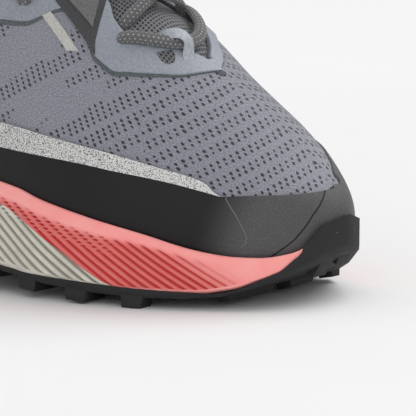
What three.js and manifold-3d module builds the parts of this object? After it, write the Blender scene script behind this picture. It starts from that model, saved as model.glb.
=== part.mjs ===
// A trail running shoe for the right foot, empty and standing on its lugs.
// Millimetres. +X runs to the toe, +Y to the medial (inner) side and +Z up. The origin is on the floor,
// under the middle of the sole. Every piece is cut from two functions: the form of the last, which
// gives the upper and all that lies on it or in it, and the edge of the sole.
import * as THREE from "three";
import { mergeVertices } from "three/addons/utils/BufferGeometryUtils.js";
import Module from "manifold-3d";

const wasm = await Module();
wasm.setup();

// Driving dimensions
const LENGTH = 301; // sole, heel to toe bumper
const BALL_WIDTH = 114; // sole across the ball
const UPPER_WIDTH = 100; // upper across the ball
const INSTEP_HEIGHT = 132; // top of the tongue above the floor
const COLLAR_HEIGHT = 106; // heel tab above the floor
const STACK = 36; // floor to foot bed at the heel
const LUG_DEPTH = 4;
const SHEET = 1.6; // outsole rubber between the lugs
const WALL = 2; // knit of the upper
const COLLAR_PAD = 5; // foam that thickens the wall round the collar
const FILM = 0.8; // welded overlays
const RIM = 0.8; // midsole's lip, seen from above
const INSOLE = 4;
const TONGUE = 4.5;
const TONGUE_HALF = 29; // tongue's half width, along Y
const GAP = 0.3; // clearance between neighbours

// The upper stops short of the sole at both ends.
const TOE_INSET = 2.9;
const HEEL_INSET = 9;
const TOE_END = LENGTH / 2 - TOE_INSET;
const HEEL_END = -LENGTH / 2 + HEEL_INSET;
const AT_FILM = GAP + FILM + GAP; // from the upper out to what covers its overlays

// Toe: where the plan of upper and sole come to their tip, and how far back each side starts to turn in.
const TIP_Y = 10;
const TOE_TURN = { lateral: 104, medial: 82 };
const TOE_ROUND = 2.05;
const HEEL_TURN = 40;
const HEEL_ROUND = 2.3;

const clamp = (t, low, high) => Math.min(high, Math.max(low, t));
const mix = (a, b, t) => a + (b - a) * t;
const ease = (t, from, to) => {
  const k = clamp((t - from) / (to - from), 0, 1);
  return k * k * (3 - 2 * k);
};
const xAt = (share) => (share - 0.5) * LENGTH;
const shareAt = (x) => x / LENGTH + 0.5;
const shares = (from, to, n) => Array.from({ length: n + 1 }, (_, i) => mix(from, to, i / n));

// Monotone cubic through a table's rows: smooth, and never past a row's own value.
function through(xs, ys) {
  const n = xs.length;
  const slope = xs.slice(1).map((x, i) => (ys[i + 1] - ys[i]) / (x - xs[i]));
  const m = xs.map((_, i) => {
    if (i === 0) return slope[0];
    if (i === n - 1) return slope[n - 2];
    const [a, b] = [slope[i - 1], slope[i]];
    return a * b <= 0 ? 0 : (2 * a * b) / (a + b);
  });
  return (x) => {
    const t = clamp(x, xs[0], xs[n - 1]);
    let i = 0;
    while (i < n - 2 && t > xs[i + 1]) i++;
    const h = xs[i + 1] - xs[i];
    const k = (t - xs[i]) / h;
    const a = ys[i] + k * h * m[i] + k * k * (3 * (ys[i + 1] - ys[i]) - h * (2 * m[i] + m[i + 1]));
    return a + k * k * k * (2 * (ys[i] - ys[i + 1]) + h * (m[i] + m[i + 1]));
  };
}

// A table with named columns: each column becomes a function of the first one.
function table(names, rows, scale = {}) {
  const first = rows.map((row) => row[0]);
  return Object.fromEntries(
    names.slice(1).map((name, c) => {
      const column = rows.map((row) => row[c + 1] * (scale[name] ?? 1));
      return [name, through(first, column)];
    }),
  );
}

// Sole, by share of its length. Edges are shares of half the ball width, heights of the heel stack: ground
// is the underside of the rubber sheet, lift and roll how much higher it lies along the lateral and the
// medial edge, wrap how far the rubber climbs over the sheet, bed the foot bed and rim the side wall's top.
const STANDS = LUG_DEPTH / STACK; // where the lugs stand on the floor
const sole = table(
  ["at", "lateral", "medial", "ground", "lift", "roll", "wrap", "bed", "rim"],
  [
    [0.0, 0.76, 0.76, 0.33, 0, 0, 0, 0.98, 1.4],
    [0.1, 0.8, 0.79, 0.14, 0, 0, 0, 1.0, 1.37],
    [0.16, 0.81, 0.79, STANDS, 0, 0, 0, 1.0, 1.34],
    [0.3, 0.79, 0.72, STANDS, 0, 0, 0, 0.97, 1.28],
    [0.42, 0.8, 0.68, 0.2, 0, 0, 0, 0.92, 1.24],
    [0.5, 0.86, 0.73, 0.22, 0.04, 0, 0, 0.88, 1.2],
    [0.58, 0.94, 0.82, 0.16, 0.13, 0, 0, 0.82, 1.16],
    [0.64, 0.98, 0.91, STANDS, 0.12, 0, 0, 0.775, 1.1],
    [0.68, 1.0, 0.97, STANDS, 0.08, 0, 0, 0.74, 1.01],
    [0.74, 0.98, 1.0, STANDS, 0.03, 0, 0, 0.68, 0.9],
    [0.82, 0.97, 0.99, STANDS, 0, 0, 0, 0.57, 0.745],
    [0.88, 0.94, 0.97, STANDS, 0, 0, 0, 0.485, 0.6],
    [0.92, 0.93, 0.92, 0.16, 0, 0, 0, 0.46, 0.54],
    [0.945, 0.92, 0.88, 0.25, 0, 0.03, 0, 0.47, 0.53],
    [0.97, 0.92, 0.86, 0.37, 0, 0.06, 0.02, 0.51, 0.57],
    [0.985, 0.92, 0.86, 0.47, 0, 0, 0.19, 0.535, 0.66],
    [1.0, 0.92, 0.86, 0.56, 0, 0, 0.37, 0.57, 0.78],
  ],
  {
    lateral: BALL_WIDTH / 2,
    medial: BALL_WIDTH / 2,
    ground: STACK,
    lift: STACK,
    roll: STACK,
    wrap: STACK,
    bed: STACK,
    rim: STACK,
  },
);

// Last, by share of the sole's length. Edges are shares of half the upper's width, heights of the instep:
// axis is where the crest runs, waist the height where a section is widest, crest its top and
// square how boxy it is (2 is an ellipse). Behind 0.44 the crest lies above the collar's cut.
const last = table(
  ["at", "lateral", "medial", "axis", "waist", "crest", "square"],
  [
    [0.0, 0.68, 0.68, 0.0, 0.4, 1.1, 1.8],
    [0.15, 0.69, 0.69, 0.0, 0.4, 1.14, 1.8],
    [0.3, 0.72, 0.7, 0.0, 0.36, 1.08, 1.75],
    [0.42, 0.78, 0.72, 0.0, 0.34, 1.0, 1.7],
    [0.52, 0.86, 0.8, -0.05, 0.32, 0.965, 1.7],
    [0.6, 0.93, 0.87, -0.09, 0.31, 0.91, 1.7],
    [0.68, 0.98, 0.95, -0.12, 0.29, 0.865, 1.72],
    [0.76, 1.0, 1.0, -0.12, 0.26, 0.78, 1.8],
    [0.82, 0.98, 1.0, -0.04, 0.235, 0.64, 1.95],
    [0.88, 0.96, 0.99, 0.1, 0.215, 0.52, 2.1],
    [0.94, 0.94, 0.94, 0.18, 0.21, 0.43, 2.2],
    [1.0, 0.94, 0.9, 0.2, 0.22, 0.36, 2.3],
  ],
  {
    lateral: UPPER_WIDTH / 2,
    medial: UPPER_WIDTH / 2,
    axis: UPPER_WIDTH / 2,
    waist: INSTEP_HEIGHT,
    crest: INSTEP_HEIGHT,
  },
);
const TUCK = 2; // how far a section draws in from its waist down to the foot bed
const CREST_TURN = 34; // the toe box falls off over this length at its front
const END_ROUND = 6; // the underside curls up over this length at both ends

// How far the back of the heel leans forward at a height, as a share of the collar's height.
const heelLean = table(
  ["height", "forward"],
  [
    [0.3, 3],
    [0.5, 0],
    [0.68, 2.5],
    [0.84, 7],
    [1.0, 6],
    [1.4, 2],
  ],
).forward;

// 0 at an end and 1 once past its turn, along a superellipse.
function turned(distance, turn, power) {
  const t = clamp(1 - distance / turn, 0, 1);
  return (1 - t ** power) ** (1 / power);
}

// One section of the last at x, grown outwards by grow.
function section(x, grow) {
  const s = shareAt(x);
  const toe = TOE_END + grow - x;
  const heel = x - (HEEL_END - grow);
  const centre = mix(last.axis(s), TIP_Y, 1 - turned(toe, TOE_TURN.lateral, TOE_ROUND));
  const heelShare = turned(heel, HEEL_TURN + grow, HEEL_ROUND);
  const edge = (side, sign) => {
    const full = last[side](s) + grow - sign * TIP_Y;
    const open = TIP_Y * sign + full * turned(toe, TOE_TURN[side] + grow, TOE_ROUND);
    return Math.max(open * heelShare, sign * centre);
  };
  const waist = last.waist(s);
  const rise = (last.crest(s) + grow - waist) * turned(toe, CREST_TURN + grow, 2.2);
  return {
    centre: centre * heelShare,
    lateral: edge("lateral", -1),
    medial: edge("medial", 1),
    waist,
    crest: waist + rise,
    square: last.square(s),
    ends: Math.min(turned(toe, END_ROUND + grow, 2), turned(heel, END_ROUND + grow, 2)),
  };
}

// Y of the last's side at x and height z, on one side.
function sideAt(x, z, side, grow) {
  const k = section(x, grow);
  const sign = side === "lateral" ? -1 : 1;
  const half = Math.abs(k[side] - sign * k.centre);
  const up = clamp((z - k.waist) / Math.max(k.crest - k.waist, 1e-6), 0, 1);
  return k.centre + sign * half * (1 - up ** k.square) ** (1 / k.square);
}

const AROUND = 7; // steps from crest to waist on each side
const BELOW = 2; // steps from waist to base
const STATIONS = 24;
const END_FLAT = 0.3; // where the first and last stations lie, in from the tips

// Stations close up towards both ends, where the form turns in.
const spread = (i, n) => mix(i / n, (1 - Math.cos((Math.PI * i) / n)) / 2, 0.93);

// Section as a closed loop, lateral base over the crest to medial base. A pad draws it in round the collar.
function loopAt(x, grow, base, pad) {
  const k = section(x, grow);
  const floor = mix(k.waist, base(shareAt(x)), k.ends);
  const points = [];
  for (const sign of [-1, 1]) {
    const half = Math.abs((sign < 0 ? k.lateral : k.medial) - sign * k.centre);
    const side = [];
    for (let j = sign < 0 ? 0 : 1; j <= AROUND; j++) {
      const a = ((j / AROUND) * Math.PI) / 2;
      const y = half * Math.sin(a) ** (2 / k.square);
      const z = k.waist + (k.crest - k.waist) * Math.cos(a) ** (2 / k.square);
      side.push([k.centre + sign * y, z]);
    }
    for (let j = 1; j <= BELOW; j++) {
      const down = j / BELOW;
      const z = mix(k.waist, floor, down);
      const share = clamp((k.waist - z) / (k.waist - sole.bed(shareAt(x))), 0, 1);
      side.push([k.centre + sign * (half - Math.min(TUCK, half * 0.3) * share * share), z]);
    }
    points.push(...(sign < 0 ? side.reverse() : side));
  }
  const lean = 1 - ease(shareAt(x), 0.02, 0.3);
  return points.map(([y, z]) => {
    const up = z / COLLAR_HEIGHT;
    const inward = pad * ease(up, 0.56, 0.76) * (1 - ease(shareAt(x), 0.26, 0.38));
    const along = inward * (1 - ease(x - HEEL_END, 0, HEEL_TURN + COLLAR_PAD));
    return new THREE.Vector3(x + lean * heelLean(up) + along, y * (1 - inward / last.lateral(0)), z);
  });
}

// Closed mesh from loops of equal length, with a ladder of quads across each end.
function loft(loops) {
  const n = loops[0].length;
  const top = (loops.length - 1) * n;
  const positions = loops.flatMap((loop) => loop.flatMap((p) => [p.x, p.y, p.z]));
  const index = [];
  const quad = (a, b, c, d) => index.push(a, b, c, a, c, d);
  for (let i = 0; i < top; i += n) {
    for (let j = 0; j < n; j++) {
      const k = (j + 1) % n;
      quad(i + j, i + k, i + n + k, i + n + j);
    }
  }
  for (let j = 0; j < Math.floor(n / 2); j++) {
    quad(j + 1, j, n - 1 - j, n - 2 - j);
    quad(top + j, top + j + 1, top + n - 2 - j, top + n - 1 - j);
  }
  return solid(positions, index);
}

// A manifold-3d solid, turned right side out.
function solid(positions, index) {
  const geometry = new THREE.BufferGeometry();
  geometry.setAttribute("position", new THREE.Float32BufferAttribute(positions, 3));
  geometry.setIndex(index);
  return fromGeometry(geometry);
}

function fromGeometry(geometry) {
  const bare = geometry.clone();
  bare.deleteAttribute("normal");
  bare.deleteAttribute("uv");
  const merged = mergeVertices(bare, 1e-3);
  const vertProperties = new Float32Array(merged.attributes.position.array);
  const corners = [];
  for (let i = 0; i < merged.index.count; i += 3) {
    const [a, b, c] = [0, 1, 2].map((k) => merged.index.getX(i + k));
    if (a !== b && b !== c && c !== a) corners.push(a, b, c);
  }
  const triVerts = new Uint32Array(corners);
  const build = () => new wasm.Manifold(new wasm.Mesh({ numProp: 3, vertProperties, triVerts }));
  const made = build();
  if (made.volume() > 0) return made;
  for (let i = 0; i < triVerts.length; i += 3) {
    [triVerts[i + 1], triVerts[i + 2]] = [triVerts[i + 2], triVerts[i + 1]];
  }
  return build();
}

// The last as a solid, grown by grow, with its underside at the heights that base gives.
function form(grow, base, pad = 0) {
  const from = HEEL_END - grow + END_FLAT;
  const to = TOE_END + grow - END_FLAT;
  const at = shares(0, 1, STATIONS).map((_, i) => mix(from, to, spread(i, STATIONS)));
  return loft(at.map((x) => loopAt(x, grow, base, pad)));
}

// Prism of an outline, and where its corners go: in the XZ plane right across the shoe, or in plan.
function prism(points, place) {
  const shape = new THREE.Shape(points.map(([a, b]) => new THREE.Vector2(a, b)));
  const geometry = new THREE.ExtrudeGeometry(shape, { depth: 1, bevelEnabled: false });
  const corners = geometry.attributes.position;
  for (let i = 0; i < corners.count; i++) {
    corners.setXYZ(i, ...place(corners.getX(i), corners.getY(i), corners.getZ(i) > 0.5));
  }
  return fromGeometry(geometry);
}
const across = (points, from = -BALL_WIDTH, to = BALL_WIDTH) =>
  prism(points, (x, z, far) => [x, far ? from : to, z]);
const upwards = (points, from, to) => prism(points, (x, y, far) => [x, y, far ? to : from]);

const SKY = 2 * INSTEP_HEIGHT; // above the whole shoe

// Everything under a height given at some shares of length, on one side of y or right across.
const WHOLE = shares(-0.1, 1.1, 18);
function under(height, at, side, y = 0) {
  const line = at.map((s) => [xAt(s), height(s, side)]);
  const start = side === "medial" ? y : -BALL_WIDTH;
  const end = side === "lateral" ? y : BALL_WIDTH;
  return across([[xAt(at.at(-1)), -STACK], ...line.reverse(), [xAt(at[0]), -STACK]], start, end);
}

// Sole: plan edge at x, and rings of it from a lower edge up to a higher one.
const SOLE_STATIONS = 22;
const WRAP = TOE_INSET - AT_FILM - RIM; // rubber in front of the midsole's toe

function soleEdge(x, side, inset, toeEnd) {
  const sign = side === "lateral" ? -1 : 1;
  const toe = toeEnd - x;
  const heel = turned(x + LENGTH / 2 - inset, HEEL_TURN, HEEL_ROUND);
  const full = sole[side](shareAt(x)) - inset - sign * TIP_Y;
  return sign * (sign * TIP_Y + full * turned(toe, TOE_TURN[side], TOE_ROUND)) * heel;
}

// Rings from the sole's edge at the height low up to the upper's edge at the height high. Rows give each
// ring's share of the height and its inset; clear moves the whole body outwards, and lean is how much of
// the way in to the upper's edge its top goes.
function soleBody(rows, low, high, toeInset, clear, lean = 1) {
  const grow = AT_FILM + RIM + clear;
  const rings = rows.map(([t, inset]) => {
    const ring = { lateral: [], medial: [] };
    const toeEnd = LENGTH / 2 - Math.max(inset, toeInset);
    for (let i = 0; i <= SOLE_STATIONS; i++) {
      const k = spread(i, SOLE_STATIONS);
      const lowX = mix(-LENGTH / 2 + inset, toeEnd, k);
      const topX = mix(HEEL_END - grow, TOE_END + grow, k);
      const x = mix(lowX, topX, t * lean);
      const s = shareAt(x);
      for (const side of ["lateral", "medial"]) {
        const z = mix(low(s, side), high(s, side), t);
        const top = sideAt(topX, sole.rim(shareAt(topX)), side, grow);
        ring[side].push([x, mix(soleEdge(lowX, side, inset, toeEnd), top, t * lean), z]);
      }
    }
    return ring;
  });
  return ringSolid(rings);
}

// Rings of equal stations on both sides; ladder caps close the top and the bottom.
function ringSolid(rings) {
  const positions = [];
  const index = [];
  const n = rings[0].lateral.length;
  const top = rings.length - 1;
  const at = (r, side, i) => r * 2 * n + (side === "lateral" ? 0 : n) + i;
  const quad = (a, b, c, d) => index.push(a, b, c, a, c, d);
  rings.forEach((ring) => positions.push(...ring.lateral.flat(), ...ring.medial.flat()));
  for (let i = 0; i + 1 < n; i++) {
    for (let r = 0; r < top; r++) {
      for (const side of ["lateral", "medial"]) {
        const [a, b] = side === "lateral" ? [i, i + 1] : [i + 1, i];
        quad(at(r, side, a), at(r, side, b), at(r + 1, side, b), at(r + 1, side, a));
      }
    }
    quad(at(0, "lateral", i + 1), at(0, "lateral", i), at(0, "medial", i), at(0, "medial", i + 1));
    quad(at(top, "lateral", i), at(top, "lateral", i + 1), at(top, "medial", i + 1), at(top, "medial", i));
  }
  return solid(positions, index);
}

// Heights of the sole's layers, by share of length
const ground = (s, side) => {
  if (!side) return sole.ground(s);
  return sole.ground(s) + (side === "lateral" ? sole.lift(s) : sole.roll(s));
};
const sheetTop = (s, side) => ground(s, side) + SHEET;
const bed = (s) => sole.bed(s);
const rim = (s) => sole.rim(s);
const upperBase = (s) => bed(s) + GAP;
const lugFace = (s, side) => ground(s, side) - LUG_DEPTH * (1 - 0.45 * ease(s, 0.86, 0.92));
const lugRoot = (s, side) => ground(s, side) + SHEET / 2;
const wrapTop = (s, side) => sheetTop(s, side) + sole.wrap(s);

const SIDE_ROWS = [[0, 2.2], [0.1, 1], [0.5, 0.6], [1, 0.5]];
const foam = soleBody(SIDE_ROWS, (s, side) => sheetTop(s, side) + GAP, rim, WRAP + GAP, 0);
const foamSpace = soleBody(
  SIDE_ROWS.map(([t, inset]) => [t, inset - GAP]),
  sheetTop,
  (s) => rim(s) + GAP,
  WRAP,
  GAP,
);
const tray = form(AT_FILM, bed);

// The pale carrier foam lies below and behind this line, the coral foam over it.
const carrierTop = table(
  ["at", "height"],
  [
    [-0.1, 1.18],
    [0.1, 1.14],
    [0.3, 1.07],
    [0.45, 1.02],
    [0.56, 0.98],
    [0.62, 0.91],
    [0.66, 0.775],
    [0.7, 0.6],
    [0.756, 0.342],
    [0.79, 0.2],
    [0.83, 0.07],
    [1.1, 0.05],
  ],
  { height: STACK },
).height;
const body = foam.subtract(tray);
const carrier = body.intersect(under(carrierTop, WHOLE));
const midsole = body.subtract(under((s) => carrierTop(s) + GAP, WHOLE));

// Rubber: a sheet under the foam that climbs the toe, and lugs below it.
const RUBBER_ROWS = [[0, 1.6], [0.12, 0.3], [1, 0]];
const rubber = soleBody(RUBBER_ROWS, ground, (s) => Math.max(rim(s), wrapTop(s) + GAP), 0, WRAP);
const climb = [...shares(-0.05, 0.65, 10), 0.9, ...shares(0.92, 1.02, 7)];
const LIFT_ENDS = 0.36 * BALL_WIDTH; // in Y: past this the sheet's lift has run out, and past ROLL_ENDS
const ROLL_ENDS = -0.09 * BALL_WIDTH; // its roll, towards the other side
const wrap = under(wrapTop, climb, "lateral", LIFT_ENDS).add(under(wrapTop, climb, "medial", ROLL_ENDS));
const sheet = rubber.intersect(wrap).subtract(foamSpace).subtract(tray);

const lugSpace = soleBody([[0, 0.9], [1, 0.9]], lugFace, lugRoot, 0, 0, 0.12);
const LUG = 10; // a lug's length, along X
const TAPER = 0.82; // size of a lug's face, as a share of its root

// A convex block that tapers from its root down to its face.
function lugBlock(corners) {
  const n = corners.length;
  const [cx, cy] = [0, 1].map((c) => corners.reduce((sum, p) => sum + p[c], 0) / n);
  const root = ground(shareAt(cx), "lateral") + 2 * SHEET;
  const face = ground(shareAt(cx)) - LUG_DEPTH - 3;
  const positions = [];
  for (const [z, k] of [[face, TAPER - 0.15], [root, 1]]) {
    corners.forEach(([x, y]) => positions.push(cx + (x - cx) * k, cy + (y - cy) * k, z));
  }
  const index = [];
  for (let i = 0; i < n; i++) {
    const j = (i + 1) % n;
    index.push(i, j, n + j, i, n + j, n + i);
    if (i > 0 && j > 0) index.push(0, j, i, n, n + i, n + j);
  }
  return solid(positions, index);
}

// Rows of lugs: where, and how far the middle pair leads (+) or trails (-) in lug lengths.
const lugRows = [
  [0.05, -0.5],
  [0.125, -0.5],
  [0.2, -0.5],
  [0.275, -0.5],
  [0.6, 0.5],
  [0.672, 0.5],
  [0.744, 0.5],
  [0.816, 0.5],
  [0.9, 0.5],
];
const lugs = lugRows.flatMap(([s, lead]) => {
  const x = xAt(s);
  return [-1, 1].flatMap((sign) => {
    const edge = sign * sole[sign < 0 ? "lateral" : "medial"](s);
    const skew = lead * LUG;
    const half = LUG / 2;
    const outer = [
      [x - half, edge * 0.66],
      [x + half * 0.6, edge * 0.66],
      [x + half, edge * 1.1],
      [x - half, edge * 1.1],
    ];
    const inner = [
      [x - half + skew, edge * 0.08],
      [x + half * 0.5 + skew, edge * 0.08],
      [x + half * 0.5, edge * 0.5],
      [x - half, edge * 0.5],
    ];
    return [lugBlock(outer), lugBlock(inner)];
  });
});
const lugged = lugs.reduce((a, b) => a.add(b)).intersect(lugSpace);

// Toe cleats: from and to in Y, then how far back from the toe's tip and how high the lower and the upper
// corner of their outer face lie.
const cleatRows = [
  [4, 12, 12.5, 8.7, 7.3, 17],
  [15, 22, 9.8, 12.3, 4.5, 24],
];
const CLEAT_ROOT = 7; // how far a cleat reaches back into the sheet
const cleats = cleatRows.map(([from, to, lowBack, low, highBack, high]) => {
  const profile = [
    [-lowBack - CLEAT_ROOT, low + CLEAT_ROOT / 2],
    [-lowBack, low],
    [-highBack, high],
    [-highBack - CLEAT_ROOT, high + CLEAT_ROOT / 4],
  ];
  return across(profile.map(([x, z]) => [LENGTH / 2 + x, z]), from, to);
});
const outsole = cleats.reduce((a, b) => a.add(b), sheet.add(lugged)).subtract(foamSpace).subtract(tray);

// Collar and throat, cut through the upper and its overlays. Collar heights are shares of COLLAR_HEIGHT.
const collarLine = [
  [-0.1, 0.95],
  [0.03, 0.96],
  [0.045, 0.99],
  [0.06, 1.0],
  [0.075, 0.985],
  [0.1, 0.92],
  [0.14, 0.85],
  [0.19, 0.8],
  [0.25, 0.81],
  [0.3, 0.86],
  [0.345, 0.95],
  [0.375, 1.06],
  [0.39, 1.2],
  [0.395, 2],
  [-0.1, 2],
].map(([s, k]) => [xAt(s), k * COLLAR_HEIGHT]);
const collar = across(collarLine);

// Half widths about the crest's axis, in shares of half the upper's width: the throat's opening and the
// eyestay round it.
const throat = table(
  ["at", "open", "stay"],
  [
    [0.3, 0.4, 0.6],
    [0.4, 0.38, 0.58],
    [0.5, 0.35, 0.55],
    [0.6, 0.33, 0.52],
    [0.662, 0.33, 0.51],
    [0.71, 0.336, 0.55],
    [0.74, 0.34, 0.54],
    [0.77, 0.33, 0.51],
    [0.79, 0.28, 0.47],
    [0.803, 0.2, 0.41],
    [0.812, 0.08, 0.35],
    [0.816, 0.02, 0.32],
    [0.83, 0.0, 0.06],
  ],
  { open: UPPER_WIDTH / 2, stay: UPPER_WIDTH / 2 },
);
function slot(width, from, to) {
  const at = shares(from, to, 20).map((s, i, all) => mix(from, to, 1 - (1 - i / (all.length - 1)) ** 1.4));
  const line = (sign) => at.map((s) => [xAt(s), last.axis(s) + sign * width(s)]);
  return upwards([...line(-1), ...line(1).reverse()], COLLAR_HEIGHT * 0.66, SKY);
}
const throatCut = slot(throat.open, 0.3, 0.816);
const openings = collar.add(throatCut);

// Inside of the upper: the wall's thickness, more of it round the collar where the lining is padded.
const floorless = (s) => bed(s) - 1;
const padded = form(-WALL, floorless, COLLAR_PAD);
const hollow = form(0, upperBase).subtract(padded).subtract(openings);

// Overlays: film between two forms.
const film = form(GAP + FILM, upperBase).subtract(form(GAP, floorless)).subtract(openings);

// Top edge of the toe guard's film, in shares of the instep's height.
const guardHeight = table(
  ["at", "lateral", "medial"],
  [
    [0.3, 0.5, 0.5],
    [0.45, 0.492, 0.492],
    [0.6, 0.47, 0.47],
    [0.65, 0.458, 0.458],
    [0.69, 0.445, 0.447],
    [0.76, 0.42, 0.436],
    [0.826, 0.383, 0.428],
    [0.88, 0.344, 0.417],
    [0.893, 0.318, 0.413],
    [0.9, 0.309, 0.409],
    [0.93, 0.311, 0.391],
    [0.945, 0.311, 0.37],
    [0.96, 0.311, 0.347],
    [0.97, 0.311, 0.321],
    [1.0, 0.311, 0.311],
  ],
  { lateral: INSTEP_HEIGHT, medial: INSTEP_HEIGHT },
);
const GUARD_MIDDLE = 0.4 * TIP_Y; // where the two sides meet at the toe, in Y
const GUARD_AT = [...shares(0.24, 0.84, 12), ...shares(0.87, 1.02, 15)];
const guardOn = (side) => under((s) => guardHeight[side](s), GUARD_AT, side, GUARD_MIDDLE);
const toeGuard = film.intersect(guardOn("lateral").add(guardOn("medial")));
const stay = film.intersect(slot(throat.stay, 0.3, 0.83));
const counterLine = [
  [-0.1, 0.2],
  [-0.1, 0.86],
  [0.03, 0.86],
  [0.08, 0.74],
  [0.16, 0.62],
  [0.22, 0.56],
  [0.225, 0.2],
].map(([s, k]) => [xAt(s), k * COLLAR_HEIGHT]);
const counter = film.intersect(across(counterLine));

const insoleTop = under((s) => bed(s) + GAP + INSOLE, WHOLE);
const insole = form(-WALL - GAP, upperBase).intersect(insoleTop);

// Tongue: under the throat, between two forms inside the wall; it stands above the collar at its top.
const tongueFrom = form(-WALL - GAP, floorless);
const tongueTo = form(-WALL - GAP - TONGUE, floorless);
const tongueHalf = table(
  ["at", "half"],
  [
    [0.36, 0.2],
    [0.364, 0.48],
    [0.374, 0.76],
    [0.39, 0.93],
    [0.41, 1],
    [0.83, 1],
  ],
  { half: TONGUE_HALF },
).half;
const tongueSpace = slot(tongueHalf, 0.36, 0.83);
const tongue = tongueFrom.subtract(tongueTo).intersect(tongueSpace);

// Eyelets: pairs along the throat, each a hole square to the film. Lace: one oval cord that runs from
// eyelet to eyelet just over the film, first through the loop at the throat's end, then crosswise.
const eyeletRows = [0.735, 0.665, 0.59, 0.51, 0.43];
const EYELET = 2.4; // radius of the holes
const EYELET_INSET = 5; // from the throat's edge, along Y
const LACE_WIDE = 5.2;
const LACE_THICK = 2.6;
const LACE_OVER = AT_FILM + 0.7 * LACE_THICK;

// A point grow above the last, sideways from the crest by y, and the way out from the last there.
function onLast(x, y, grow) {
  const k = section(x, grow);
  const offset = last.axis(shareAt(x)) + y - k.centre;
  const half = offset < 0 ? k.lateral + k.centre : k.medial - k.centre;
  const share = clamp(Math.abs(offset) / half, 0, 1);
  const up = (1 - share ** k.square) ** (1 / k.square);
  return new THREE.Vector3(x, k.centre + offset, mix(k.waist, k.crest, up));
}
function outward(x, y) {
  const across = onLast(x, y + 0.5, 0).sub(onLast(x, y - 0.5, 0));
  const along = onLast(x + 0.5, y, 0).sub(onLast(x - 0.5, y, 0));
  return along.cross(across).normalize();
}
const eyelets = eyeletRows.map((s) =>
  [-1, 1].map((sign) => [xAt(s), sign * (throat.open(s) + EYELET_INSET)]),
);

function hole([x, y]) {
  const drill = new THREE.CylinderGeometry(EYELET, EYELET, 4 * WALL, 6);
  const turn = new THREE.Quaternion().setFromUnitVectors(new THREE.Vector3(0, 1, 0), outward(x, y));
  const centre = onLast(x, y, 0);
  drill.applyQuaternion(turn).translate(centre.x, centre.y, centre.z);
  return fromGeometry(drill);
}
const holes = eyelets.flat().map(hole).reduce((a, b) => a.add(b));
const upper = hollow.subtract(holes);
const eyestay = stay.subtract(holes);

// Oval cord over the last through stops given as [x, y from the crest].
const CORD_SIDES = 6;
function cord(stops, steps) {
  const line = new THREE.CatmullRomCurve3(
    stops.map(([x, y]) => onLast(x, y, 0).addScaledVector(outward(x, y), LACE_OVER)),
  );
  const places = new THREE.CatmullRomCurve3(stops.map(([x, y]) => new THREE.Vector3(x, y, 0)));
  const loops = shares(0, 1, steps).map((t) => {
    const centre = line.getPoint(t);
    const place = places.getPoint(t);
    const out = outward(place.x, place.y);
    const wide = line.getTangent(t).cross(out).normalize();
    return shares(0, 1 - 1 / CORD_SIDES, CORD_SIDES - 1).map((turn) => {
      const a = 2 * Math.PI * turn;
      const p = centre.clone().addScaledVector(wide, (Math.cos(a) * LACE_WIDE) / 2);
      return p.addScaledVector(out, (Math.sin(a) * LACE_THICK) / 2);
    });
  });
  return loft(loops);
}
const lead = [
  eyelets[0][0],
  [xAt(0.765), -18],
  [xAt(0.79), -11],
  [xAt(0.803), 0],
  [xAt(0.79), 11],
  [xAt(0.765), 18],
  eyelets[0][1],
];
const crossings = eyelets.slice(1).flatMap((pair, i) =>
  [0, 1].map((side) => {
    const [from, to] = [eyelets[i][side], pair[1 - side]];
    return shares(0, 1, 4).map((t) => [mix(from[0], to[0], t), mix(from[1], to[1], t)]);
  }),
);
const cords = [cord(lead, 12), ...crossings.map((stops) => cord(stops, 6))];
const lace = cords.reduce((a, b) => a.add(b)).subtract(tray);

function meshOf(made) {
  const { vertProperties, triVerts, numProp } = made.getMesh();
  const positions = new Float32Array((vertProperties.length / numProp) * 3);
  for (let i = 0; i < positions.length / 3; i++) {
    for (let c = 0; c < 3; c++) positions[3 * i + c] = vertProperties[i * numProp + c];
  }
  const geometry = new THREE.BufferGeometry();
  geometry.setAttribute("position", new THREE.BufferAttribute(positions, 3));
  geometry.setIndex(new THREE.BufferAttribute(new Uint32Array(triVerts), 1));
  return geometry;
}

const shoe = new THREE.Group();
shoe.name = "trail_shoe";
function add(name, made, color, roughness) {
  const material = new THREE.MeshStandardMaterial({ color, roughness, metalness: 0 });
  const mesh = new THREE.Mesh(meshOf(made), material);
  mesh.name = name;
  shoe.add(mesh);
}

add("outsole", outsole, 0x323133, 0.8);
add("carrier", carrier, 0xe8e4d6, 0.7);
add("midsole", midsole, 0xf68b88, 0.7);
add("upper", upper, 0x7c7c85, 0.9);
add("toe_guard", toeGuard, 0x2f2e32, 0.5);
add("eyestay", eyestay, 0x8d9196, 0.5);
add("heel_counter", counter, 0x2f2e32, 0.5);
add("insole", insole, 0x4a4a4e, 0.9);
add("tongue", tongue, 0x6a6a6e, 0.9);
add("lace", lace, 0x626264, 0.9);

export default shoe;
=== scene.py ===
# The look of a trail running shoe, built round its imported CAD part. Lengths in the tables and in the
# mesh code are millimetres, as in the part's source; a mesh is turned into metres when it is made.
import math

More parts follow.
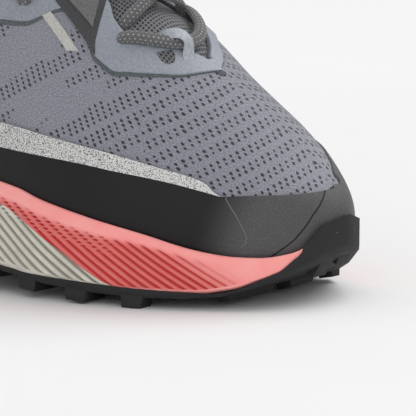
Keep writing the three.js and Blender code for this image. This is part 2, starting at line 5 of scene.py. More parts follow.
import bpy
import numpy as np
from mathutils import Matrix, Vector


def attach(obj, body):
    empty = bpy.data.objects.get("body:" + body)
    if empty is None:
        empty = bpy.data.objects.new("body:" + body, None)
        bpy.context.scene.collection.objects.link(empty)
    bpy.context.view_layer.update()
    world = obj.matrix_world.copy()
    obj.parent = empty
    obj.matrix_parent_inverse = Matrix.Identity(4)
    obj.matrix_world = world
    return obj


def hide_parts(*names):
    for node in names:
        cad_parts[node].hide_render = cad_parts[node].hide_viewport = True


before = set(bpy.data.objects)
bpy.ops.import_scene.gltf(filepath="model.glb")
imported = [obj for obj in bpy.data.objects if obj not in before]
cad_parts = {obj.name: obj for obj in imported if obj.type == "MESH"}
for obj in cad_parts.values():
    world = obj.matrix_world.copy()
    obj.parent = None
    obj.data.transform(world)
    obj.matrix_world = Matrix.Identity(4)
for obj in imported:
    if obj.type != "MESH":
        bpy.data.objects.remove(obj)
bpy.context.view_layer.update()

# -------------------- sizes, as in the part's source
LENGTH, BALL_WIDTH, UPPER_WIDTH = 301.0, 114.0, 100.0
INSTEP_HEIGHT, COLLAR_HEIGHT, STACK = 132.0, 106.0, 36.0
LUG_DEPTH, SHEET, WALL, COLLAR_PAD, FILM = 4.0, 1.6, 2.0, 5.0, 0.8
RIM, INSOLE, TONGUE_HALF, GAP = 0.8, 4.0, 29.0, 0.3
TOE_INSET, HEEL_INSET = 2.9, 9.0
TOE_END = LENGTH / 2 - TOE_INSET
HEEL_END = -LENGTH / 2 + HEEL_INSET
AT_FILM = GAP + FILM + GAP
WRAP = TOE_INSET - AT_FILM - RIM
TIP_Y, TOE_ROUND, HEEL_TURN, HEEL_ROUND = 10.0, 2.05, 40.0, 2.3
TOE_TURN = {"lateral": 104.0, "medial": 82.0}
SIGN = {"lateral": -1, "medial": 1}
TUCK, CREST_TURN, CREST_ROUND, END_ROUND = 2.0, 34.0, 2.2, 6.0
PER_METRE = 1000.0


def clamp(t, low, high):
    return np.minimum(high, np.maximum(low, t))


def mix(a, b, t):
    return a + (b - a) * t


def ease(t, start, end):
    k = clamp((t - start) / (end - start), 0, 1)
    return k * k * (3 - 2 * k)


def even(count):
    """Even shares from 0 to 1, in a row."""
    return np.linspace(0, 1, count)[None, :]


def x_at(share):
    return (share - 0.5) * LENGTH


def share_at(x):
    return x / LENGTH + 0.5


def through(xs, ys):
    """Monotone cubic through a table's rows."""
    xs, ys = np.asarray(xs, float), np.asarray(ys, float)
    h = np.diff(xs)
    slope = np.diff(ys) / h
    m = np.zeros_like(xs)
    m[0], m[-1] = slope[0], slope[-1]
    a, b = slope[:-1], slope[1:]
    same = a * b > 0
    m[1:-1] = np.where(same, 2 * a * b / np.where(same, a + b, 1), 0)

    def at(x):
        t = clamp(np.asarray(x, float), xs[0], xs[-1])
        i = clamp(np.searchsorted(xs, t, side="right") - 1, 0, len(h) - 1).astype(int)
        k = (t - xs[i]) / h[i]
        start = ys[i] + k * h[i] * m[i]
        start = start + k * k * (3 * (ys[i + 1] - ys[i]) - h[i] * (2 * m[i] + m[i + 1]))
        return start + k ** 3 * (2 * (ys[i] - ys[i + 1]) + h[i] * (m[i] + m[i + 1]))

    return at


def table(names, rows, scale=1.0):
    """Each column as a function of the first one. scale is one number or one for each column."""
    rows = np.asarray(rows, float)
    scale = np.broadcast_to(scale, len(names))
    return {n: through(rows[:, 0], rows[:, i + 1] * scale[i]) for i, n in enumerate(names)}


STANDS = LUG_DEPTH / STACK
sole = table(
    ["lateral", "medial", "ground", "lift", "roll", "bed", "rim"],
    [
        [0.0, 0.76, 0.76, 0.33, 0, 0, 0.98, 1.4], [0.1, 0.8, 0.79, 0.14, 0, 0, 1.0, 1.37],
        [0.16, 0.81, 0.79, STANDS, 0, 0, 1.0, 1.34], [0.3, 0.79, 0.72, STANDS, 0, 0, 0.97, 1.28],
        [0.42, 0.8, 0.68, 0.2, 0, 0, 0.92, 1.24], [0.5, 0.86, 0.73, 0.22, 0.04, 0, 0.88, 1.2],
        [0.58, 0.94, 0.82, 0.16, 0.13, 0, 0.82, 1.16], [0.64, 0.98, 0.91, STANDS, 0.12, 0, 0.775, 1.1],
        [0.68, 1.0, 0.97, STANDS, 0.08, 0, 0.74, 1.01], [0.74, 0.98, 1.0, STANDS, 0.03, 0, 0.68, 0.9],
        [0.82, 0.97, 0.99, STANDS, 0, 0, 0.57, 0.745], [0.88, 0.94, 0.97, STANDS, 0, 0, 0.485, 0.6],
        [0.92, 0.93, 0.92, 0.16, 0, 0, 0.46, 0.54], [0.945, 0.92, 0.88, 0.25, 0, 0.03, 0.47, 0.53],
        [0.97, 0.92, 0.86, 0.37, 0, 0.06, 0.51, 0.57], [0.985, 0.92, 0.86, 0.47, 0, 0, 0.535, 0.66],
        [1.0, 0.92, 0.86, 0.56, 0, 0, 0.57, 0.78],
    ],
    [BALL_WIDTH / 2] * 2 + [STACK] * 5,
)
last = table(
    ["lateral", "medial", "axis", "waist", "crest", "square"],
    [
        [0.0, 0.68, 0.68, 0.0, 0.4, 1.1, 1.8], [0.15, 0.69, 0.69, 0.0, 0.4, 1.14, 1.8],
        [0.3, 0.72, 0.7, 0.0, 0.36, 1.08, 1.75], [0.42, 0.78, 0.72, 0.0, 0.34, 1.0, 1.7],
        [0.52, 0.86, 0.8, -0.05, 0.32, 0.965, 1.7], [0.6, 0.93, 0.87, -0.09, 0.31, 0.91, 1.7],
        [0.68, 0.98, 0.95, -0.12, 0.29, 0.865, 1.72], [0.76, 1.0, 1.0, -0.12, 0.26, 0.78, 1.8],
        [0.82, 0.98, 1.0, -0.04, 0.235, 0.64, 1.95], [0.88, 0.96, 0.99, 0.1, 0.215, 0.52, 2.1],
        [0.94, 0.94, 0.94, 0.18, 0.21, 0.43, 2.2], [1.0, 0.94, 0.9, 0.2, 0.22, 0.36, 2.3],
    ],
    [UPPER_WIDTH / 2] * 3 + [INSTEP_HEIGHT] * 2 + [1.0],
)
heel_lean = through([0.3, 0.5, 0.68, 0.84, 1.0, 1.4], [3, 0, 2.5, 7, 6, 2])
carrier_top = through(
    [-0.1, 0.1, 0.3, 0.45, 0.56, 0.62, 0.66, 0.7, 0.756, 0.79, 0.83, 1.1],
    np.multiply(STACK, [1.18, 1.14, 1.07, 1.02, 0.98, 0.91, 0.775, 0.6, 0.342, 0.2, 0.07, 0.05]),
)
guard_height = table(
    ["lateral", "medial"],
    [
        [0.3, 0.5, 0.5], [0.45, 0.492, 0.492], [0.6, 0.47, 0.47], [0.65, 0.458, 0.458],
        [0.69, 0.445, 0.447], [0.76, 0.42, 0.436], [0.826, 0.383, 0.428], [0.88, 0.344, 0.417],
        [0.893, 0.318, 0.413], [0.9, 0.309, 0.409], [0.93, 0.311, 0.391], [0.945, 0.311, 0.37],
        [0.96, 0.311, 0.347], [0.97, 0.311, 0.321], [1.0, 0.311, 0.311],
    ],
    INSTEP_HEIGHT,
)


def turned(distance, turn, power):
    """Share of the full size at a distance from an end that is rounded off over the length turn."""
    t = clamp(1 - distance / turn, 0, 1)
    return (1 - t ** power) ** (1 / power)


def section(x, grow):
    """The last's section at x, grown outwards by grow, as in the part's source."""
    s = share_at(x)
    toe = TOE_END + grow - x
    heel = x - (HEEL_END - grow)
    centre = mix(last["axis"](s), TIP_Y, 1 - turned(toe, TOE_TURN["lateral"], TOE_ROUND))
    heel_share = turned(heel, HEEL_TURN + grow, HEEL_ROUND)
    k = {"centre": centre * heel_share, "waist": last["waist"](s), "square": last["square"](s)}
    for side, sign in SIGN.items():
        full = last[side](s) + grow - sign * TIP_Y
        wide = TIP_Y * sign + full * turned(toe, TOE_TURN[side] + grow, TOE_ROUND)
        k[side] = np.maximum(wide * heel_share, sign * centre)
    rise = (last["crest"](s) + grow - k["waist"]) * turned(toe, CREST_TURN + grow, CREST_ROUND)
    k["crest"] = k["waist"] + rise
    k["ends"] = np.minimum(turned(toe, END_ROUND + grow, 2), turned(heel, END_ROUND + grow, 2))
    return k


def side_at(x, z, side, grow):
    """Y of the last's side at the height z."""
    k = section(x, grow)
    sign = SIGN[side]
    half = abs(k[side] - sign * k["centre"])
    up = clamp((z - k["waist"]) / np.maximum(k["crest"] - k["waist"], 1e-6), 0, 1)
    return k["centre"] + sign * half * (1 - up ** k["square"]) ** (1 / k["square"])


def sole_edge(x, side, inset, toe_end):
    """Y of the sole's lower edge, drawn in by inset."""
    sign = SIGN[side]
    heel = turned(x + LENGTH / 2 - inset, HEEL_TURN, HEEL_ROUND)
    full = sole[side](share_at(x)) - inset - sign * TIP_Y
    return sign * (sign * TIP_Y + full * turned(toe_end - x, TOE_TURN[side], TOE_ROUND)) * heel


def sheet_top(s, side):
    """Height of the rubber sheet's upper face at the sole's edge."""
    return sole["ground"](s) + sole["lift" if side == "lateral" else "roll"](s) + SHEET


# -------------------- the last's side as a grid
ROWS_BELOW, ROWS_ABOVE = 24, 110        # rows of a section under and over its waist
LEAN_ENDS = (0.02, 0.3)                 # shares of the length between which the heel's lean ends
PAD_RISES, PAD_ENDS = (0.56, 0.76), (0.26, 0.38)    # shares of the collar's height and of the length


def half_section(x, side, grow, pad):
    """Points (stations, rows, 3) of one side of the sections at x, from the foot bed up to the crest."""
    x = np.asarray(x, float)[:, None]
    k = section(x, grow)
    s = share_at(x)
    sign = SIGN[side]
    bed = sole["bed"](s)
    half = abs(k[side] - sign * k["centre"])
    floor = mix(k["waist"], bed, k["ends"])
    z_low = mix(k["waist"], floor, np.linspace(1, 0, ROWS_BELOW, endpoint=False)[None, :])
    tuck = clamp((k["waist"] - z_low) / np.maximum(k["waist"] - bed, 1e-6), 0, 1)
    y_low = half - np.minimum(TUCK, half * 0.3) * tuck * tuck
    a = np.linspace(math.pi / 2, 0, ROWS_ABOVE)[None, :]
    y_up = half * np.sin(a) ** (2 / k["square"])
    z_up = k["waist"] + (k["crest"] - k["waist"]) * np.cos(a) ** (2 / k["square"])
    y = k["centre"] + sign * np.concatenate([y_low, y_up], axis=1)
    z = np.concatenate([z_low, z_up], axis=1)
    up = z / COLLAR_HEIGHT
    lean = 1 - ease(s, *LEAN_ENDS)
    inward = pad * ease(up, *PAD_RISES) * (1 - ease(s, *PAD_ENDS))
    along = inward * (1 - ease(x - HEEL_END, 0, HEEL_TURN + COLLAR_PAD))
    return np.stack([x + lean * heel_lean(up) + along, y * (1 - inward / last["lateral"](0)), z], axis=2)


class Half:
    """One side of the last. Places on it are arcs, measured up each section from the foot bed."""

    def __init__(self, x, side, grow=0.0, pad=0.0):
        self.x = np.asarray(x, float)
        self.side = side
        self.points = half_section(self.x, side, grow, pad)
        step = np.linalg.norm(np.diff(self.points, axis=1), axis=2)
        self.arc = np.concatenate([np.zeros((len(self.x), 1)), np.cumsum(step, axis=1)], axis=1)
        self.full = self.arc[:, -1]

    def at_height(self, z):
        z = np.broadcast_to(z, len(self.x))
        return np.array([np.interp(*row) for row in zip(z, self.points[:, :, 2], self.arc)])

    def at_offset(self, offset):
        """Where the distance from the crest's axis falls to offset, on the way up."""
        offset = np.broadcast_to(offset, len(self.x))
        axis = last["axis"](share_at(self.x))
        away = -SIGN[self.side] * (self.points[:, :, 1] - axis[:, None])
        return np.array([np.interp(-distance, np.maximum.accumulate(row[ROWS_BELOW:]), arc[ROWS_BELOW:])
                         for distance, row, arc in zip(offset, away, self.arc)])

    def places(self, arcs):
        """Points at the given arcs (stations, rows)."""
        out = np.empty(arcs.shape + (3,))
        for i, row in enumerate(arcs):
            for axis in range(3):
                out[i, :, axis] = np.interp(row, self.arc[i], self.points[i, :, axis])
        return out


def normals(p, side):
    """Unit normals of a grid of points (stations, rows), pointing away from the last."""
    du = np.gradient(p, axis=0)
    dv = np.gradient(p, axis=1)
    n = np.cross(du, dv) * -SIGN[side]
    size = np.linalg.norm(n, axis=2, keepdims=True)
    return n / np.maximum(size, 1e-9)


# -------------------- meshes
NO_AREA = 1e-7


def placed(name, data):
    """A new object in the scene."""
    made = bpy.data.objects.new(name, data)
    bpy.context.scene.collection.objects.link(made)
    return made


class Shape:
    """Gathers grids into one mesh, with numbers kept at its points for the materials."""

    def __init__(self):
        self.points, self.faces, self.values = [], [], {}
        self.count = 0

    def grid(self, p, values=None, flip=False, closed_rows=False):
        """Adds p (stations, rows, 3). closed_rows joins the last row to the first one."""
        n, m = p.shape[:2]
        i, j = np.meshgrid(np.arange(n - 1), np.arange(m if closed_rows else m - 1), indexing="ij")
        here, after = i * m + j, i * m + (j + 1) % m
        corners = [corner.ravel() for corner in (here, here + m, after + m, after)]
        faces = np.stack(corners[::-1] if flip else corners, axis=1)
        flat = p.reshape(-1, 3)
        q = flat[faces]
        area = np.linalg.norm(np.cross(q[:, 2] - q[:, 0], q[:, 3] - q[:, 1]), axis=1)
        self.points.append(flat)
        self.faces.extend((faces[area > NO_AREA] + self.count).tolist())
        for name, value in (values or {}).items():
            self.values.setdefault(name, []).append(np.broadcast_to(value, (n, m)).ravel())
        self.count += n * m

    def made(self, name, material, slot, node=None, merge=0.0):
        """The piece, in place of the CAD node where one is named, with points closer than merge joined."""
        mesh = bpy.data.meshes.new(name)
        mesh.from_pydata((np.concatenate(self.points) / PER_METRE).tolist(), [], self.faces)
        for key, rows in self.values.items():
            attribute = mesh.attributes.new(key, "FLOAT", "POINT")
            attribute.data.foreach_set("value", np.concatenate(rows).astype(np.float32))
        mesh.shade_smooth()
        mesh.materials.append(material)
        piece = placed(name, mesh)
        if merge:
            weld = piece.modifiers.new("weld", "WELD")
            weld.merge_threshold = merge / PER_METRE
        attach(piece, "root")
        if node:
            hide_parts(node)
        return piece


def spread_x(start, end, count, weight=0.9):
    i = np.arange(count + 1) / count
    return start + (end - start) * mix(i, (1 - np.cos(math.pi * i)) / 2, weight)


def from_line(px, pz, line):
    """Signed distance in mm of points (px, pz) from an open polyline; negative on its right."""
    line = np.asarray(line, float)
    best = np.full(px.shape, 1e9)
    signed = np.zeros(px.shape)
    for (ax, az), (bx, bz) in zip(line[:-1], line[1:]):
        dx, dz = bx - ax, bz - az
        t = clamp(((px - ax) * dx + (pz - az) * dz) / (dx * dx + dz * dz), 0, 1)
        ex, ez = px - (ax + t * dx), pz - (az + t * dz)
        d = np.hypot(ex, ez)
        side = np.where(dx * ez - dz * ex >= 0, 1.0, -1.0)
        signed = np.where(d < best, d * side, signed)
        best = np.minimum(best, d)
    return signed


# -------------------- materials
def rgb(r, g, b):
    """An 8-bit sRGB colour in the linear numbers of a shader."""
    shares = (r / 255, g / 255, b / 255)
    return tuple(c / 12.92 if c <= 0.04045 else ((c + 0.055) / 1.055) ** 2.4 for c in shares) + (1.0,)


class Paint:
    """A procedural material, wired up with a few short calls."""

    def __init__(self, name, rough=0.6, **fixed):
        self.material = bpy.data.materials.new(name)
        self.material.use_nodes = True
        self.tree = self.material.node_tree
        self.shader = self.tree.nodes["Principled BSDF"]
        self.shader.inputs["Roughness"].default_value = rough
        for key, value in fixed.items():
            self.shader.inputs[key.replace("_", " ")].default_value = value

    def node(self, kind, inputs=(), output=0, **settings):
        made = self.tree.nodes.new(kind)
        for key, value in settings.items():
            setattr(made, key, value)
        for key, value in dict(inputs).items():
            if isinstance(value, bpy.types.NodeSocket):
                self.tree.links.new(value, made.inputs[key])
            else:
                made.inputs[key].default_value = value
        return made.outputs[output]

    def math(self, operation, a, b=0.0, c=0.0):
        return self.node("ShaderNodeMath", {0: a, 1: b, 2: c}, operation=operation)

    def times(self, a, b):
        return self.math("MULTIPLY", a, b)

    def summed(self, a, by_a, b, by_b):
        return self.math("MULTIPLY_ADD", a, by_a, self.times(b, by_b))

    def in_cell(self, a):
        """Place in a cell of size 1, from -0.5 to 0.5."""
        return self.math("SUBTRACT", self.math("FRACT", a), 0.5)

    def size(self, a):
        return self.math("ABSOLUTE", a)

    def less(self, a, b):
        return self.math("SUBTRACT", a, b)

    def value(self, name):
        return self.node("ShaderNodeAttribute", output="Fac", attribute_name=name)

    def place(self, scale=1.0, stretch=(1, 1, 1)):
        """Place on the object in millimetres, scaled and stretched."""
        where = self.node("ShaderNodeTexCoord", output="Object")
        by = tuple(PER_METRE * scale * v for v in stretch)
        return self.node("ShaderNodeVectorMath", {0: where, 1: by}, operation="MULTIPLY")

    def joined(self, x, y, z=0.0):
        return self.node("ShaderNodeCombineXYZ", {0: x, 1: y, 2: z})

    def noise(self, where, scale, detail=2.0, rough=0.5):
        return self.node("ShaderNodeTexNoise", {"Vector": where, "Scale": scale, "Detail": detail,
                                                "Roughness": rough})

    def smooth(self, value, low, high, a=0.0, b=1.0):
        return self.node("ShaderNodeMapRange", {0: value, 1: low, 2: high, 3: a, 4: b},
                         interpolation_type="SMOOTHSTEP")

    def linear(self, value, low, high, a=0.0, b=1.0):
        return self.node("ShaderNodeMapRange", {0: value, 1: low, 2: high, 3: a, 4: b})

    def blend(self, share, a, b):
        made = self.tree.nodes.new("ShaderNodeMix")
        made.data_type = "RGBA"
        for socket, value in ((made.inputs[0], share), (made.inputs[6], a), (made.inputs[7], b)):
            if isinstance(value, bpy.types.NodeSocket):
                self.tree.links.new(value, socket)
            else:
                socket.default_value = value
        return made.outputs[2]

    def mottled(self, grain, dark, light, low=0.3, high=0.7):
        """Between two 8-bit colours by a noise."""
        return self.blend(self.smooth(grain, low, high), rgb(*dark), rgb(*light))

    def colour(self, value):
        self.feed("Base Color", value)

    def feed(self, socket, value):
        self.tree.links.new(value, self.shader.inputs[socket])

    def bump(self, *layers):
        """Each layer is a height and its depth in mm."""
        normal = None
        for height, depth in layers:
            made = self.tree.nodes.new("ShaderNodeBump")
            made.inputs["Distance"].default_value = depth / PER_METRE
            self.tree.links.new(height, made.inputs["Height"])
            if normal:
                self.tree.links.new(normal, made.inputs["Normal"])
            normal = made.outputs[0]
        self.feed("Normal", normal)


KNIT_TOE = 52.0     # from this u on the knit's bands follow each other more evenly


def knit_paint():
    """Engineered knit: slanted bands of small openings in rows, on a fine ribbed ground; the openings are
    painted near black, the dark lining under them deepened by painted shade.
    """
    p = Paint("knit", rough=0.85, Sheen_Weight=0.25, Sheen_Roughness=0.5)
    u, w = p.value("u"), p.value("w")
    # Slanted cells, counted along a row by a and from row to row by b, with one opening in each
    a, b = p.summed(u, 0.3901, w, 0.1427), p.summed(u, 0.2950, w, -0.5019)
    row = p.math("FLOOR", b)
    in_a, in_b = p.in_cell(a), p.in_cell(b)
    z = p.summed(in_a, 1.24, in_b, -1.64)
    x = p.math("MULTIPLY_ADD", z, 0.35, p.summed(in_a, 2.11, in_b, 0.6))
    wide, tall = p.size(x), p.size(z)
    square = p.math("MAXIMUM", p.times(wide, 1.25), p.times(tall, 1.1))
    hole = p.summed(square, 0.65, p.math("ADD", wide, tall), 0.35)
    edge = p.linear(p.noise(p.joined(p.math("FLOOR", a), row, 3.0), 0.9, 1.0), 0.3, 0.7, 0.42, 0.66)
    inside = p.smooth(p.less(hole, edge), -0.12, 0.12, 1.0, 0.0)
    # Rows are left out in a slow beat, so that the rest stand in bands
    turn = p.noise(p.joined(p.times(a, 0.06), p.times(row, 0.21)), 1.0, 0.0)
    near = p.math("FRACT", p.summed(row, 0.236, turn, 0.7))
    far = p.math("FRACT", p.summed(row, 0.334, turn, 0.4))
    near, far = p.math("LESS_THAN", near, 0.62), p.math("LESS_THAN", far, 0.64)
    band = p.node("ShaderNodeMix", {0: p.math("GREATER_THAN", u, KNIT_TOE), 2: near, 3: far})
    shown = p.times(p.times(inside, band), p.smooth(p.value("plain"), -0.6, 0.6))
    where = p.joined(u, w)
    loops = p.noise(where, 1.9, 3.0, 0.7)
    rib = p.node("ShaderNodeTexWave", {"Vector": where, "Scale": 0.42, "Distortion": 0.9, "Detail": 2.0,
                                       "Detail Scale": 3.0}, output=1, bands_direction="Y")
    cloud = p.noise(p.place(0.012), 1.0, 2.0)
    yarn = p.mottled(loops, (100, 101, 111), (164, 164, 177))
    yarn = p.blend(p.times(rib, 0.07), yarn, rgb(92, 93, 104))
    yarn = p.blend(p.linear(cloud, 0.35, 0.65, 0.0, 0.18), yarn, rgb(166, 166, 176))
    # Openings painted near black: the dark lining showing through, deepened by painted shade
    p.colour(p.blend(p.times(shown, 0.93), yarn, rgb(22, 22, 27)))
    p.feed("Roughness", p.linear(loops, 0.2, 0.8, 0.75, 0.95))
    p.bump((loops, 0.5), (rib, 0.05), (p.less(1.0, shown), 0.7))
    return p.material


def cloth_paint(name, dark, light, scale, detail, depth, **fixed):
    p = Paint(name, **fixed)
    grain = p.noise(p.place(), scale, detail)
    p.colour(p.mottled(grain, dark, light))
    p.bump((grain, depth))
    return p.material


def lining_paint():
    return cloth_paint("lining", (52, 52, 57), (92, 92, 99), 1.6, 3.0, 0.5, rough=0.92, Sheen_Weight=0.3)


def film_paint(name):
    """Thin welded film: near black, satin, with the cloth under it just showing, and painted grey at the toe
    as a highlight.
    """
    p = Paint(name, rough=0.46, Specular_IOR_Level=0.32)
    cloth = p.noise(p.place(), 1.3, 3.0, 0.6)
    weave = p.noise(p.place(1.0, (1.0, 1.0, 2.2)), 2.6, 2.0, 0.7)
    base = p.mottled(cloth, (7, 6, 9), (13, 12, 15))
    # The grey at the toe is a painted highlight, mottled by the weave
    toe_highlight = p.mottled(weave, (60, 60, 61), (98, 98, 99), 0.3, 0.75)
    tone = p.blend(p.smooth(p.value("toe"), -9.0, 9.0), base, toe_highlight)
    seam = p.smooth(p.size(p.value("seam")), 0.12, 0.34, 1.0, 0.0)
    tone = p.blend(seam, tone, rgb(14, 14, 15))
    mould = p.times(p.smooth(p.size(p.value("mould")), 0.1, 0.32, 1.0, 0.0), p.value("mould_on"))
    p.colour(p.blend(p.times(mould, 0.55), tone, rgb(128, 128, 126)))
    p.feed("Roughness", p.linear(cloth, 0.3, 0.7, 0.42, 0.56))
    p.bump((cloth, 0.1), (weave, 0.07), (p.less(mould, seam), 0.25))
    return p.material


def speckle_paint():
    """Pale strip with dark dots that thin out where fade is larger."""
    p = Paint("speckled_strip", rough=0.5)
    dots = p.noise(p.place(), 2.6, 1.0, 0.6)
    dark = p.smooth(p.math("ADD", dots, p.value("fade")), 0.47, 0.51, 1.0, 0.0)
    p.colour(p.blend(dark, rgb(212, 213, 211), rgb(52, 52, 54)))
    p.bump((dots, 0.12))
    return p.material


def foam_paint(name, base, low, shade_colour):
    """Moulded foam: a fine skin of pores, darker in its grooves and among its ribs, where shade is painted.
    """
    p = Paint(name, rough=0.62, Subsurface_Weight=0.12, Subsurface_Radius=(0.004, 0.002, 0.0015),
              Subsurface_Scale=0.5, Specular_IOR_Level=0.3)
    pores = p.noise(p.place(), 3.2, 2.0, 0.6)
    wide = p.noise(p.place(), 0.11, 3.0)
    tone = p.blend(p.linear(wide, 0.3, 0.7), rgb(*base), rgb(*low))
    # Painted shade: the ribbed field is darkened part way towards the last colour, the grooves fully
    tone = p.blend(p.times(p.value("zone"), 0.62), tone, rgb(*shade_colour))
    tone = p.blend(p.smooth(p.value("groove"), 0.1, 0.8), tone, rgb(*shade_colour))
    p.colour(p.blend(p.linear(pores, 0.35, 0.65, 0.0, 0.1), tone, rgb(*low)))
    p.bump((pores, 0.07), (wide, 0.4))
    return p.material


def rubber_paint():
    p = Paint("rubber", rough=0.72, Specular_IOR_Level=0.4)
    grain = p.noise(p.place(), 2.2, 3.0, 0.6)
    dust = p.noise(p.place(), 0.16, 3.0)
    tone = p.mottled(dust, (27, 26, 29), (38, 38, 40), 0.35, 0.7)
    p.colour(p.blend(p.linear(grain, 0.35, 0.65, 0.0, 0.2), tone, rgb(60, 60, 60)))
    p.feed("Roughness", p.linear(dust, 0.3, 0.7, 0.62, 0.82))
    p.bump((grain, 0.16), (dust, 0.5))
    return p.material


def stay_paint(name, dark, light, rough):
    """Pale satin film over cloth."""
    p = Paint(name, rough=rough, Specular_IOR_Level=0.5)
    cloth = p.noise(p.place(), 1.1, 3.0, 0.65)
    p.colour(p.mottled(cloth, dark, light))
    p.feed("Roughness", p.linear(cloth, 0.3, 0.7, rough - 0.06, rough + 0.1))
    p.bump((cloth, 0.22))
    return p.material


def ribbed_paint(name, dark, light, pitch):
    """Fine moulded ribs along the panel, with painted light on their crests and painted shade in their
    troughs.
    """
    p = Paint(name, rough=0.7)
    lines = p.math("SINE", p.times(p.value("across"), 2 * math.pi / pitch))
    grain = p.noise(p.place(), 1.4, 3.0)
    # The ribs' crests are painted lighter and their troughs darker: painted light and shade
    tone = p.mottled(lines, dark, light, -0.8, 0.8)
    p.colour(p.blend(p.linear(grain, 0.3, 0.7, 0.0, 0.25), tone, rgb(*dark)))
    p.bump((lines, 0.3), (grain, 0.15))
    return p.material


def mesh_paint(name, ground, hole, pitch, share=0.3, shade=0.72):
    """Open mesh: small square openings in a soft knitted ground, the openings painted dark as the shade in
    them.
    """
    p = Paint(name, rough=0.9, Sheen_Weight=0.2)
    across, up = (p.size(p.in_cell(p.math("DIVIDE", p.value(axis), pitch))) for axis in "uw")
    inside = p.smooth(p.math("MAXIMUM", across, up), share - 0.06, share + 0.06, 1.0, 0.0)
    grain = p.noise(p.place(), 2.6, 3.0)
    light = rgb(*ground)
    tone = p.blend(p.smooth(grain, 0.3, 0.7), tuple(shade * c for c in light[:3]) + (1.0,), light)
    # The openings are painted dark: painted shade inside them
    p.colour(p.blend(inside, tone, rgb(*hole)))
    p.bump((grain, 0.3), (p.less(1.0, inside), 0.5))
    return p.material


STITCH_LONG, STITCH_WIDE = 1.75, 1.35


def lace_paint():
    """Woven flat lace, mid grey with rows of small pale stitches."""
    p = Paint("lace_weave", rough=0.88, Sheen_Weight=0.25)
    along, rows = p.value("along"), p.math("DIVIDE", p.value("round"), STITCH_WIDE)
    shift = p.times(p.math("FLOOR", rows), 0.5)
    x = p.in_cell(p.math("ADD", p.math("DIVIDE", along, STITCH_LONG), shift))
    x, y = (p.math("POWER", p.times(a, by), 2.0) for a, by in ((x, 1.5), (p.in_cell(rows), 1.35)))
    dot = p.smooth(p.math("SQRT", p.math("ADD", x, y)), 0.17, 0.31, 1.0, 0.0)
    weave = p.noise(p.joined(along, p.times(p.value("round"), 2.4)), 1.9, 3.0, 0.7)
    p.colour(p.blend(dot, p.mottled(weave, (66, 66, 68), (112, 112, 114)), rgb(186, 186, 185)))
    p.bump((weave, 0.4), (dot, 0.25))
    return p.material


# -------------------- edges on the last
COLLAR_END, THROAT_START, OPEN_END, STAY_START, STAY_END = 0.395, 0.3, 0.816, 0.39, 0.829
collar_line = through(
    [-0.1, 0.03, 0.045, 0.06, 0.075, 0.1, 0.14, 0.19, 0.25, 0.3, 0.345, 0.375, 0.39, 0.395],
    [0.95, 0.96, 0.99, 1.0, 0.985, 0.92, 0.85, 0.8, 0.81, 0.86, 0.95, 1.06, 1.2, 2.0],
)
opening = {
    "lateral": through(
        [0.3, 0.4, 0.5, 0.58, 0.62, 0.66, 0.7, 0.723, 0.745, 0.769, 0.782, 0.79, 0.798, 0.804, 0.81,
         0.816],
        [20, 19, 17.5, 16.5, 14.4, 12.3, 12.2, 16.4, 17.9, 16.4, 13.6, 10.8, 7.4, 4.6, 2.2, 0.3]),
    "medial": through(
        [0.3, 0.4, 0.5, 0.6, 0.7, 0.74, 0.77, 0.785, 0.8, 0.81, 0.816],
        [20, 19, 17.5, 16.5, 16.5, 16.5, 15, 12.5, 8, 3, 0.3]),
}
stay_edge = {
    "lateral": through(
        [0.3, 0.5, 0.6, 0.66, 0.69, 0.705, 0.722, 0.747, 0.77, 0.789, 0.802, 0.812, 0.82, 0.825, 0.829],
        [30, 27.5, 25.4, 19.4, 21, 24.4, 27, 27.4, 25, 21.8, 18.6, 15.4, 11, 6.5, 0.5]),
    "medial": through(
        [0.3, 0.5, 0.6, 0.7, 0.74, 0.77, 0.785, 0.798, 0.808, 0.818, 0.829],
        [30, 27.5, 26, 26.5, 27, 24, 19, 14.5, 11.5, 7.5, 0.5]),
}


def collar_arc(h, s):
    return np.where(s < COLLAR_END, h.at_height(collar_line(s) * COLLAR_HEIGHT), h.full)


def top_arc(h, s):
    """Arc of the collar's or the throat's edge, at the shares s of the length."""
    throat = np.where((s > THROAT_START) & (s < OPEN_END), h.at_offset(opening[h.side](s)), h.full)
    return np.minimum(np.minimum(collar_arc(h, s), throat), h.full)


def steps_between(low, high, count, fine=(0.9, 0.5, 0.22, 0.0), both=False):
    """Arcs from low to high with a few close rows at the top edge, and at the bottom one too if both."""
    length = np.maximum(high - low, 1e-4)[:, None]
    reach = np.minimum(np.asarray(fine)[None, :], length * np.linspace(0.3, 0, len(fine))[None, :])
    start = low + (reach[:, 0] if both else 0)
    end = high - reach[:, 0]
    middle = mix(start[:, None], end[:, None], even(count))
    rows = [middle, high[:, None] - reach[:, 1:]]
    if both:
        rows.insert(0, low[:, None] + reach[:, :0:-1])
    return np.concatenate(rows, axis=1)


def rounded(distance, height, radius):
    """Height of a film at a distance from its edge, which is rounded down."""
    t = clamp(distance / radius, 0, 1)
    return height * np.sqrt(np.maximum(1 - (1 - t) ** 2, 0))


def patch(shape, h, arcs, height, values=None, top=True, low_edge=False, radius=0.6, under=0.0):
    """Adds a film on the last, height thick over under. top says where its upper edge is rounded down."""
    p = h.places(arcs)
    top = np.broadcast_to(top, len(h.x))[:, None]
    lift = np.where(top, rounded(arcs[:, -1:] - arcs, height, radius), height)
    if low_edge:
        lift = np.minimum(lift, rounded(arcs - arcs[:, :1], height, radius))
    p = p + normals(p, h.side) * (lift + under)[:, :, None]
    values = {name: value(h, p) if callable(value) else value for name, value in (values or {}).items()}
    shape.grid(p, values, flip=h.side == "medial")


# -------------------- upper
UPPER_DOWN, FILM_DOWN = 3.0, 2.4        # how far the knit and the films reach down behind the rim
KNIT_U, KNIT_W = (0.788, 0.616), (0.988, 0.123)     # the pattern's u from x and the side, w from z and it
